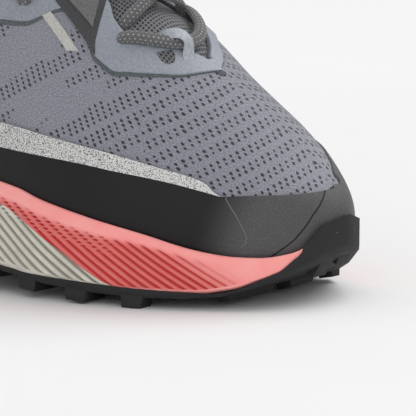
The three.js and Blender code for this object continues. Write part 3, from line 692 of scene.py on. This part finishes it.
# Plain patches of the knit: x and arc of the middle, half length and half width
PLAIN = [(37, 67, 26, 9.5), (46, 41.5, 17, 6.5), (64, 47, 15, 5.0), (-15, 60, 14, 6), (-52, 42, 16, 7),
         (-84, 60, 15, 7), (-110, 50, 10, 6), (5, 38, 12, 4)]
PLAIN_X, PLAIN_UP = 0.68, 0.73          # the way in which they lie


def plain_patches(x, arcs):
    """Positive where the knit is open and negative in its plain patches."""
    out = np.full(x.shape, 5.0)
    for middle, arc, along, wide in PLAIN:
        a = (x - middle) * PLAIN_X + (arcs - arc) * PLAIN_UP
        b = -(x - middle) * PLAIN_UP + (arcs - arc) * PLAIN_X
        out = np.minimum(out, (np.hypot(a / along, b / wide) - 1) * min(along, wide))
    return out


UPPER_X = spread_x(HEEL_END, TOE_END, 420, 0.93)
INNER_X = mix(HEEL_END + WALL, TOE_END - WALL, (UPPER_X - HEEL_END) / (TOE_END - HEEL_END))
knit, lining = Shape(), Shape()
for side in SIGN:
    h = Half(UPPER_X, side)
    s = share_at(UPPER_X)
    base = h.at_height(sole["rim"](s) - UPPER_DOWN)
    arcs = mix(base[:, None], top_arc(h, s)[:, None], even(98))
    p = h.places(arcs)
    x, z = p[:, :, 0], p[:, :, 2]
    aside = (p[:, :, 1] - last["axis"](share_at(x))) * -SIGN[side]
    knit.grid(p, {"u": x * KNIT_U[0] + aside * KNIT_U[1], "w": z * KNIT_W[0] + aside * KNIT_W[1],
                  "plain": plain_patches(x, arcs)}, flip=side == "medial")
    inner = Half(INNER_X, side, -WALL, COLLAR_PAD)
    q = inner.places(top_arc(inner, s)[:, None] * even(44))
    lining.grid(q, flip=side == "lateral")
    # The padded edge rolls over from the knit to the lining
    outer, inner = p[s < OPEN_END, -1], q[s < OPEN_END, -1]
    up = outer - p[s < OPEN_END, -4]
    up /= np.maximum(np.linalg.norm(up, axis=1, keepdims=True), 1e-6)
    phi = np.linspace(0, math.pi, 13)[None, :, None]
    middle, reach = (outer + inner)[:, None] / 2, (outer - inner)[:, None] / 2
    rise = np.linalg.norm(reach, axis=2, keepdims=True) * 0.8
    lining.grid(middle + reach * np.cos(phi) + up[:, None] * rise * np.sin(phi), flip=side == "medial")
knit.made("upper_knit", knit_paint(), "upper", "upper")
lining.made("upper_lining", lining_paint(), "upper", merge=0.02)

# Films of the toe guard and the heel, the first with a seam over the tip and a moulded line on its side
FILM_UP, FAR = 0.8, 9.0
SEAM = [(7.0, 43.5), (3.6, 40.8), (-4.9, 33.6), (-11.6, 25.0), (-18.0, 18.6), (-24.0, 13.5)]
MOULD = [(122.3, 41.5), (122.5, 40.0), (126.2, 34.1), (128.6, 29.0), (129.4, 26.3), (128.9, 24.2),
         (127.4, 22.4)]
SEAM_FROM_X, MOULD_LOW, MOULD_HIGH = 120, 22.6, 41


def toe_highlight_reach(h, p):
    """Distance forward of the line ahead of which the film is painted grey as a highlight; behind it the film
    is black.
    """
    return p[:, :, 0] - (123 + 0.25 * (p[:, :, 2] - 30)) + (0 if h.side == "lateral" else 20)


def seam_line(h, p):
    return np.where(p[:, :, 0] > SEAM_FROM_X, from_line(p[:, :, 1], p[:, :, 2], SEAM), FAR)


def mould_line(h, p):
    return from_line(p[:, :, 0], p[:, :, 2], MOULD) if h.side == "lateral" else FAR


def mould_shows(h, p):
    return (p[:, :, 2] > MOULD_LOW) & (p[:, :, 2] < MOULD_HIGH)


guard, counter = Shape(), Shape()
counter_top = through([-0.1, 0.03, 0.08, 0.16, 0.22, 0.225], [0.86, 0.86, 0.74, 0.62, 0.56, 0.55])
for side in SIGN:
    h = Half(spread_x(x_at(0.24), TOE_END, 370, 0.75), side)
    s = share_at(h.x)
    limit = guard_height[side](s)
    low = h.at_height(sole["rim"](s) - FILM_DOWN)
    high = np.minimum(h.at_height(limit), h.full)
    patch(guard, h, steps_between(low, np.maximum(high, low + 0.02), 70), FILM_UP,
          {"toe": toe_highlight_reach, "seam": seam_line, "mould": mould_line, "mould_on": mould_shows},
          top=h.points[:, -1, 2] > limit)
for side in SIGN:
    h = Half(spread_x(HEEL_END, x_at(0.225), 190, 0.9), side)
    s = share_at(h.x)
    low, high = h.at_height(sole["rim"](s) - FILM_DOWN), h.at_height(counter_top(s) * COLLAR_HEIGHT)
    # The heel film gets none of the painted toe highlight
    patch(counter, h, steps_between(low, high, 50), FILM_UP,
          {"toe": -30.0, "seam": FAR, "mould": FAR, "mould_on": 0.0})
guard.made("guard_film", film_paint("toe_film"), "toe_guard", "toe_guard")
counter.made("heel_film", film_paint("heel_film"), "heel_counter", "heel_counter")

# Speckled strip along the guard's upper edge
strip = Shape()
h = Half(spread_x(x_at(0.25), 121.2, 300, 0.3), "lateral")
top_z = guard_height["lateral"](share_at(h.x)) + 0.1
low_z = through([-75, 0, 30, 69, 87, 103.5, 114, 118.4, 120.2, 121.2],
                [56.5, 54.8, 53.2, 50.6, 48.1, 45.2, 42.5, 41.2, 40.75, 40.85])(h.x)
low, high = h.at_height(np.minimum(low_z, top_z - 0.05)), h.at_height(top_z)
patch(strip, h, steps_between(low, high, 26, fine=(0.5, 0.3, 0.12, 0.0), both=True), 0.28,
      {"fade": lambda h, p: 0.03 + 0.05 * ease(p[:, :, 0], 20, 120)}, low_edge=True, radius=0.25,
      under=FILM_UP - 0.05)
strip.made("speckled_strip", speckle_paint(), "toe_guard")


# Eyestay: pale film round the throat, on a slightly wider dark backing
def stay_grid(shape, x, side, height, wider, inward):
    h = Half(x, side)
    s = share_at(h.x)
    high = np.where(s < OPEN_END, h.at_offset(np.maximum(opening[side](s) + inward, 0)), h.full)
    high = np.minimum(high, collar_arc(h, s))
    low = np.minimum(h.at_offset(stay_edge[side](s) + wider), high - 0.02)
    patch(shape, h, steps_between(low, high, 40, both=True), height, top=s < OPEN_END, low_edge=True)


stay, backing = Shape(), Shape()
for side in SIGN:
    stay_grid(stay, spread_x(x_at(STAY_START), x_at(STAY_END), 320, 0.55), side, 1.05, 0.0, -0.1)
    stay_grid(backing, spread_x(x_at(STAY_START), x_at(STAY_END + 0.005), 260, 0.55), side, 0.45, 0.85, 0.3)
stay_film = stay_paint("stay_film", (130, 135, 146), (150, 155, 165), 0.42)
stay.made("eyestay_film", stay_film, "eyestay", "eyestay")
backing_cloth = cloth_paint("backing", (62, 68, 69), (104, 112, 113), 2.4, 2.0, 0.3, rough=0.85)
backing.made("eyestay_backing", backing_cloth, "eyestay")

# -------------------- pieces laid out in plan on the last
def on_last(x, off, grow=0.0):
    """Points on the last at x, sideways from the crest's axis by off, grown outwards by grow."""
    x, off = np.broadcast_arrays(np.asarray(x, float), np.asarray(off, float))
    k = section(x, grow)
    offset = last["axis"](share_at(x)) + off - k["centre"]
    half = np.where(offset < 0, k["lateral"] + k["centre"], k["medial"] - k["centre"])
    share = clamp(abs(offset) / half, 0, 1)
    up = (1 - share ** k["square"]) ** (1 / k["square"])
    return np.stack([x, k["centre"] + offset, mix(k["waist"], k["crest"], up)], axis=-1)


def outward(x, off):
    """Unit normal of the last there, from its slopes within a reach on each side."""
    reach = 0.4
    across = on_last(x, np.asarray(off) + reach) - on_last(x, np.asarray(off) - reach)
    along = on_last(np.asarray(x) + reach, off) - on_last(np.asarray(x) - reach, off)
    n = np.cross(along, across)
    return n / np.linalg.norm(n, axis=-1, keepdims=True)


def lengths(points):
    """Length along a line of points up to each of them."""
    return np.concatenate([[0], np.cumsum(np.linalg.norm(np.diff(points, axis=0), axis=1))])


def ruled(left, right, rows, columns):
    """Plan grid (rows, columns, 2) between two lines of (x, off)."""
    def along(line):
        line = np.asarray(line, float)
        t = lengths(line)
        at = np.linspace(0, t[-1], rows)
        return np.stack([np.interp(at, t, line[:, 0]), np.interp(at, t, line[:, 1])], axis=1)
    return mix(along(left)[:, None], along(right)[:, None], np.linspace(0, 1, columns)[None, :, None])


def plan_film(name, left, right, lift, material, slot, rows, columns, under=0.0, radius=0.5):
    """A thin film between two plan lines, its edges rounded down on to what carries it."""
    plan = ruled(left, right, rows, columns)
    x, off = plan[..., 0], plan[..., 1]
    p = on_last(x, off)
    wide = np.linalg.norm(p[:, -1] - p[:, 0], axis=1)[:, None] + 1e-6
    across = even(columns) * wide
    along = lengths(p[:, columns // 2])[:, None]
    edge = np.minimum(np.minimum(across, wide - across), np.minimum(along, along[-1] - along))
    shape = Shape()
    shape.grid(p + outward(x, off) * (under + rounded(edge, lift - under, radius))[..., None],
               {"across": across, "u": x, "w": off})
    shape.made(name, material, slot)


# V-shaped ribbed panel on the lateral side, with a lighter field inside it
plan_film("side_panel", [(66.8, -26.9), (41.0, -18.9), (34.0, -16.2), (31.0, -15.2)],
          [(66.2, -26.0), (64.8, -24.0), (61.8, -15.6), (60.2, -12.0)], 1.5,
          ribbed_paint("side_panel", (64, 65, 67), (92, 93, 95), 0.85), "eyestay", 160, 70, under=0.6)
plan_film("side_panel_field", [(61.6, -21.6), (47.0, -17.6), (41.0, -15.2), (38.6, -14.2)],
          [(61.4, -21.2), (59.8, -17.0), (58.2, -13.4), (57.8, -12.4)], 1.8,
          ribbed_paint("side_panel_field", (112, 113, 114), (136, 136, 137), 1.1), "eyestay", 140, 60,
          under=1.2)
# The open mesh that shows through the slot beside the loop
plan_film("slot_mesh", [(85.2, -16.4), (87.6, -16.9), (89.2, -16.5), (90.2, -15.5)],
          [(88.2, -10.9), (89.3, -11.2), (90.2, -12.2), (90.7, -13.8)], 1.12,
          mesh_paint("slot_mesh", (118, 118, 121), (30, 30, 33), 1.15), "tongue", 50, 40, under=0.9)
# One plain pale strip behind the ribbed panel
plan_film("pale_strip", [(53.9, -28.3), (30.0, -20.9), (14.0, -15.4), (8.0, -13.8)],
          [(59.3, -27.5), (36.0, -20.0), (22.0, -15.0), (16.0, -13.4)], 0.55,
          stay_paint("pale_strip", (172, 171, 166), (196, 195, 190), 0.35), "toe_guard", 120, 24)


def smooth_line(t, v, at):
    """Catmull-Rom through the values v at t."""
    m = np.gradient(v, t)
    i = clamp(np.searchsorted(t, at, side="right") - 1, 0, len(t) - 2).astype(int)
    h = t[i + 1] - t[i]
    k = (at - t[i]) / h
    return ((2 * k ** 3 - 3 * k ** 2 + 1) * v[i] + (k ** 3 - 2 * k ** 2 + k) * h * m[i]
            + (-2 * k ** 3 + 3 * k ** 2) * v[i + 1] + (k ** 3 - k ** 2) * h * m[i + 1])


def unit(v):
    return v / np.linalg.norm(v, axis=1, keepdims=True)


def swept(shape, stops, wide, thick, steps, power, sides=20, end_steps=5):
    """Adds an oval band through stops (x, off, lift) over the last, closed at both ends."""
    stops = np.asarray(stops, float)
    p = on_last(stops[:, 0], stops[:, 1]) + outward(stops[:, 0], stops[:, 1]) * stops[:, 2:3]
    t = np.concatenate([[0], np.cumsum(np.linalg.norm(np.diff(p, axis=0), axis=1) ** 0.8)])
    fine = np.linspace(0, t[-1], steps)
    line = np.stack([smooth_line(t, p[:, c], fine) for c in range(3)], axis=1)
    over = outward(*(smooth_line(t, stops[:, c], fine) for c in range(2)))
    along = unit(np.gradient(line, axis=0))
    side = unit(np.cross(along, over))
    out = np.cross(side, along)
    a = np.linspace(0, 2 * math.pi, sides, endpoint=False)
    across = np.sign(np.cos(a)) * abs(np.cos(a)) ** (2 / power) * wide / 2
    up = np.sign(np.sin(a)) * abs(np.sin(a)) ** (2 / power) * thick / 2
    to_end = clamp(np.minimum(np.arange(steps), np.arange(steps)[::-1]) / end_steps, 0, 1)
    close = np.sqrt(np.maximum(1 - (1 - to_end) ** 2, 0.0009))[:, None, None]
    band = side[:, None] * across[None, :, None] + out[:, None] * up[None, :, None]
    values = {"along": lengths(line)[:, None], "round": (a * (wide + thick) / 4)[None, :]}
    shape.grid(line[:, None] + band * close, values, closed_rows=True)


LACE_WIDE, LACE_THICK = 5.4, 3.0
lace_runs = [
    [(67.5, -22.0, -4.5), (71.0, -20.8, -1.6), (74.2, -19.4, 1.2), (78.0, -17.6, 2.2), (82.0, -15.0, 2.2),
     (85.2, -12.0, 2.1), (87.6, -8.6, 2.1), (89.0, -4.6, 2.3), (89.0, 0.6, 2.4), (86.4, 6.4, 2.4),
     (82.0, 11.0, 2.2), (76.5, 14.5, 1.8), (71.5, 17.5, 0.5), (68.0, 20.0, -2.5)],
    [(66.0, -19.0, -4.5), (69.8, -16.6, -2.4), (71.4, -13.0, -0.2), (72.0, -8.6, 0.8), (71.6, -3.0, 1.2),
     (69.0, 4.0, 1.6), (64.0, 11.0, 1.6), (58.0, 17.0, 1.8), (52.0, 21.0, 2.2), (49.8, 21.8, -1.5)],
    [(74.0, 19.0, -4.0), (74.0, 16.0, -1.5), (74.4, 11.0, 2.2), (74.2, 4.0, 3.6), (70.5, -2.0, 4.0),
     (64.0, -6.5, 2.4), (57.5, -9.4, 0.2), (52.0, -12.6, -3.0), (47.0, -15.5, -5.0)],
    [(52.0, -15.5, -5.0), (47.5, -11.5, -1.4), (43.0, -6.0, 1.2), (38.0, 1.0, 1.8), (32.5, 9.0, 1.8),
     (29.0, 16.0, 2.4), (27.4, 21.0, 2.4), (27.1, 21.6, -1.5)],
    [(49.8, 21.8, -1.5), (49.4, 21.0, 2.4), (46.5, 16.0, 2.8), (42.0, 9.0, 3.6), (37.0, 1.0, 4.4),
     (32.5, -7.0, 3.4), (29.0, -15.0, 2.6), (27.4, -21.0, 2.4), (27.1, -21.6, -1.5)],
] + [
    [(x, sign * 22.0, -1.5), (x - 0.6, sign * 21.0, 2.4), (x - 4.0, sign * 14.0, 2.4),
     (x - 9.0, sign * 6.0, low), (x - 12.5, 0.0, low), (x - 16.0, sign * -6.0, low),
     (x - 21.0, sign * -14.0, 2.4), (x - 23.8, sign * -21.4, 2.4), (x - 24.1, sign * -22.4, -1.5)]
    for x in (27.1, 3.0) for sign, low in ((-1, 1.9), (1, 4.6))
]
laces, loop = Shape(), Shape()
for stops in lace_runs:
    swept(laces, stops, LACE_WIDE, LACE_THICK, 110, 2.3)
laces.made("laces", lace_paint(), "lace", "lace")
swept(loop, [(83.4, -12.6, -3.0), (84.2, -10.9, 1.2), (85.6, -8.4, 4.2), (87.6, -6.6, 5.0), (89.4, -6.2, 4.3),
             (90.8, -6.9, 2.6), (91.9, -8.0, 1.2), (93.2, -9.0, 0.7)], 4.5, 0.8, 60, 5.0)
loop.made("lace_loop", stay_paint("loop_film", (150, 155, 163), (176, 180, 187), 0.4), "lace")

# Tongue: a padded, crowned strip of open mesh under the throat
TONGUE_DEEP, TONGUE_CROWN, TONGUE_START, TONGUE_END = 4.5, 2.2, 0.36, 0.828
tongue_half = through([TONGUE_START, 0.364, 0.374, 0.39, 0.41, 0.83],
                      [6, 14, 22, 27, TONGUE_HALF, TONGUE_HALF])
tongue = Shape()
tx = spread_x(x_at(TONGUE_START), x_at(TONGUE_END), 170, 0.3)
v = np.linspace(-1, 1, 61)[None, :]
x, off = np.broadcast_arrays(tx[:, None], v * tongue_half(share_at(tx))[:, None])
bulge = outward(x, off) * ((1 - abs(v) ** 6) * TONGUE_CROWN)[..., None]
top = on_last(x, off, -TONGUE_DEEP + 0.1) + bulge
under = on_last(x, off, -TONGUE_DEEP - 0.1) - bulge
ring = np.concatenate([top, under[:, ::-1]], axis=1)
caps = [np.repeat(end.mean(axis=1, keepdims=True), ring.shape[1], axis=1) for end in (ring[:1], ring[-1:])]
tongue.grid(np.concatenate([caps[0], ring, caps[1]]),
            {"u": np.concatenate([tx[:1], tx, tx[-1:]])[:, None],
             "w": np.concatenate([v, v[:, ::-1]], axis=1) * TONGUE_HALF}, closed_rows=True)
tongue_piece = tongue.made("tongue_pad", mesh_paint("tongue_mesh", (136, 136, 141), (38, 38, 42), 1.36),
                           "tongue", "tongue", merge=0.01)

# Insole: cupped at its edge, in the foot bed
BOARD_INSET, BOARD_EDGE, BOARD_CUP, BOARD_DEEP, BOARD_UNDER = 3.2, 1.6, 1.6, 3.4, 0.6
bx = spread_x(HEEL_END + BOARD_INSET, TOE_END - BOARD_INSET, 150, 0.95)
k = section(bx, -WALL - GAP)
v = np.linspace(-1, 1, 41)[None, :]
to_lateral, to_medial = k["lateral"] + k["centre"], k["medial"] - k["centre"]
half = np.where(v < 0, to_lateral[:, None], to_medial[:, None]) - BOARD_EDGE
z = (sole["bed"](share_at(bx)) + GAP + INSOLE - BOARD_UNDER)[:, None] + BOARD_CUP * abs(v) ** 5
top = np.stack(np.broadcast_arrays(bx[:, None], k["centre"][:, None] + v * np.maximum(half, 0.1), z), axis=-1)
low = top - [0, 0, BOARD_DEEP]
board = Shape()
board.grid(top)
board.grid(np.concatenate([top[:, :1], low[:, :1]], axis=1), flip=True)
board.grid(np.concatenate([top[:, -1:], low[:, -1:]], axis=1))
board.made("insole_board", lining_paint(), "insole", "insole")

# -------------------- foam of the sole
SIDE_INSET = through([0, 0.1, 0.5, 1], [2.2, 1.0, 0.6, 0.5])
RIB_DEPTH, SEAM_DEPTH = 1.0, 1.4


def foam_point(k, t, side):
    """Point of the foam's side wall at the station share k and height share t, as in the part's source."""
    inset, grow = SIDE_INSET(t), AT_FILM + RIM
    toe_end = LENGTH / 2 - np.maximum(inset, WRAP + GAP)
    low_x = mix(-LENGTH / 2 + inset, toe_end, k)
    top_x = mix(HEEL_END - grow, TOE_END + grow, k)
    x = mix(low_x, top_x, t)
    s = share_at(x)
    top = side_at(top_x, sole["rim"](share_at(top_x)), side, grow)
    y = mix(sole_edge(low_x, side, inset, toe_end), top, t)
    return np.stack([x, y, mix(sheet_top(s, side) + GAP, sole["rim"](s), t)], axis=-1)


def carrier_share(k, side):
    """Height share where the wall crosses the top of the pale foam."""
    low, high = np.zeros_like(k), np.ones_like(k)
    for _ in range(26):
        t = (low + high) / 2
        p = foam_point(k, t, side)
        under = p[..., 2] < carrier_top(share_at(p[..., 0]))
        low, high = np.where(under, t, low), np.where(under, high, t)
    return (low + high) / 2


def slanted(x, z):
    """Place along the sole, measured square to the slanted grooves."""
    return x + 1.5 * (z - 8)


# The grooves are counted along the sole, from one of them at a known place, and close up towards the toe
RIB_AT, RIB_STEP, RIB_KNOWN = np.linspace(-260, 260, 4001), 0.13, 99.4
RIB_PITCH = mix(5.6, 3.8, clamp(((RIB_AT[1:] + RIB_AT[:-1]) / 2 - 50) / 65, 0, 1))
RIB_COUNT = np.concatenate([[0], np.cumsum(RIB_STEP / RIB_PITCH)])
RIB_COUNT -= np.interp(RIB_KNOWN, RIB_AT, RIB_COUNT)
DOT_PITCH = 1.25


def off_whole(n):
    return abs(n - np.round(n))


def grooves(x, z, rim, low):
    """Depth share of the moulded grooves at a place on the side wall, and its share in their field."""
    b = slanted(x, z)
    line = 1 - ease(off_whole(np.interp(b, RIB_AT, RIB_COUNT)), 0.08, 0.3)
    below = rim - z
    band = mix(2.6, 5.2, ease(115 - x, 0, 45))
    solid = ease(below, band - 0.6, band + 1.2)
    dots = 1 - ease(off_whole(z / DOT_PITCH), 0.2, 0.36)
    dotted = ease(90 - x, 0, 8) * (1 - ease(below, 10.0, 11.4))
    ends = ease(z - low, 1.2, 2.0) * (1 - ease(b, 116, 141)) * ease(x, -135, -110)
    return line * solid * mix(1, dots, dotted) * ends, ease(below, band - 1.2, band + 2.0) * ends


# Stations of the wall: closer in the fore part, and closing up at both ends
FOAM_K = np.unique(np.concatenate([np.linspace(0, 0.45, 150), np.linspace(0.45, 0.93, 390),
                                   np.linspace(0.93 ** 0.5, 1, 60),
                                   0.07 * (1 - np.cos(np.linspace(0, math.pi / 2, 30))),
                                   1 - 0.07 * (1 - np.cos(np.linspace(0, math.pi / 2, 34)))]))


def foam_wall(side, t):
    p = foam_point(FOAM_K[:, None] + 0 * t, t, side)
    x, z = p[..., 0], p[..., 2]
    s = share_at(x)
    cut, field = grooves(x, z, sole["rim"](s), sheet_top(s, side) + GAP)
    return p - normals(p, side) * (cut * RIB_DEPTH)[..., None], cut, field


LIP_UP, LIP_SINK, LIP_ROWS, LIP_BEHIND = 0.15, 0.35, 7, 1.2
INNER_GROW, INNER_DOWN = 0.7, 0.2
coral, cream = Shape(), Shape()
for side in SIGN:
    split = carrier_share(FOAM_K, side)[:, None]
    p, cut, field = foam_wall(side, split * (1 - (1 - even(44)) ** 1.15))
    seam = p[:, -1:] - normals(p, side)[:, -1:] * SEAM_DEPTH
    values = {"groove": np.concatenate([cut, cut[:, -1:]], axis=1), "zone": 0.0}
    cream.grid(np.concatenate([p, seam], axis=1), values, flip=side == "medial")
    p, cut, field = foam_wall(side, split + (1 - split) * even(58) * 0.985)
    seam = p[:, :1] - normals(p, side)[:, :1] * SEAM_DEPTH
    # The lip rolls over from the wall's top to the upper, and goes down behind it
    end = foam_point(FOAM_K, np.ones_like(FOAM_K), side)[:, None]
    x = mix(HEEL_END - INNER_GROW, TOE_END + INNER_GROW, FOAM_K)
    z = sole["rim"](share_at(x)) - INNER_DOWN
    inner = np.stack([x, side_at(x, z, side, INNER_GROW), z], axis=-1)[:, None]
    phi = np.linspace(0.12, math.pi / 2, LIP_ROWS)[None, :, None]
    lip = end + (inner - end) * (1 - np.cos(phi))
    lip[..., 2] += LIP_UP * np.sin(2 * phi[..., 0]) - LIP_SINK * (1 - np.sin(phi[..., 0]))
    behind = inner - [0, 0, LIP_BEHIND]
    none = np.zeros((len(FOAM_K), LIP_ROWS + 1))
    values = {name: np.concatenate([rows[:, :1], rows, none], axis=1)
              for name, rows in (("groove", cut), ("zone", field))}
    coral.grid(np.concatenate([seam, p, lip, behind], axis=1), values, flip=side == "medial")
# The last colour of each foam is the painted shade of its grooves and ribbed field
coral_foam = foam_paint("foam_coral", (255, 172, 167), (255, 158, 154), (196, 48, 44))
coral.made("foam_coral", coral_foam, "midsole", "midsole", merge=0.01)
cream_foam = foam_paint("foam_cream", (222, 219, 208), (196, 192, 180), (150, 147, 134))
cream.made("foam_cream", cream_foam, "carrier", "carrier", merge=0.01)

# -------------------- outsole
WELD, BEVEL, BEVEL_FROM = 0.00001, 0.0007, 35
rubber = placed("outsole_rubber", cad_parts["outsole"].data.copy())
rubber.data.materials.clear()
rubber.data.materials.append(rubber_paint())
rubber.data.shade_smooth()
weld = rubber.modifiers.new("weld", "WELD")
weld.merge_threshold = WELD
bevel = rubber.modifiers.new("bevel", "BEVEL")
bevel.width = BEVEL
bevel.segments = 3
bevel.limit_method = "ANGLE"
bevel.angle_limit = math.radians(BEVEL_FROM)
bevel.harden_normals = True
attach(rubber, "root")
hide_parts("outsole")

# -------------------- floor, light and camera
FLOOR = 30
floor_mesh = bpy.data.meshes.new("floor")
floor_mesh.from_pydata([(-FLOOR, -FLOOR, 0), (FLOOR, -FLOOR, 0), (FLOOR, FLOOR, 0), (-FLOOR, FLOOR, 0)], [],
                       [(0, 1, 2, 3)])
floor = placed("floor", floor_mesh)
floor_paint = Paint("floor_paint", rough=0.8, Specular_IOR_Level=0.2)
cloud = floor_paint.noise(floor_paint.place(), 0.004, 2.0)
tone = floor_paint.blend(floor_paint.linear(cloud, 0.3, 0.7), rgb(238, 238, 238), rgb(241, 241, 241))
floor_paint.colour(tone)
floor_mesh.materials.append(floor_paint.material)

bpy.context.scene.view_settings.view_transform = "Standard"
world = bpy.data.worlds.new("studio")
bpy.context.scene.world = world
world.use_nodes = True
world.node_tree.nodes["Background"].inputs["Color"].default_value = (1.0, 1.0, 1.0, 1.0)
world.node_tree.nodes["Background"].inputs["Strength"].default_value = 0.56


def sun(name, energy, towards, angle):
    data = bpy.data.lights.new(name, "SUN")
    data.energy = energy
    data.angle = math.radians(angle)
    placed(name, data).rotation_euler = Vector(towards).to_track_quat("-Z", "Y").to_euler()


sun("key", 1.65, (-0.25, -0.75, -1.0), 50)
sun("fill", 0.9, (-0.45, 0.85, -0.3), 80)

AZIMUTH, ELEVATION, DISTANCE = math.radians(38), math.radians(9), 1.2
TARGET = Vector((0.1063, -0.017, 0.034))
camera_data = bpy.data.cameras.new("camera")
camera_data.sensor_width = 36.0
camera_data.lens = 285.6
camera = placed("camera", camera_data)
away = Vector((math.sin(AZIMUTH) * math.cos(ELEVATION), -math.cos(AZIMUTH) * math.cos(ELEVATION),
               math.sin(ELEVATION)))
camera.location = TARGET + DISTANCE * away
camera.rotation_euler = (-away).to_track_quat("-Z", "Y").to_euler()
bpy.context.scene.camera = camera
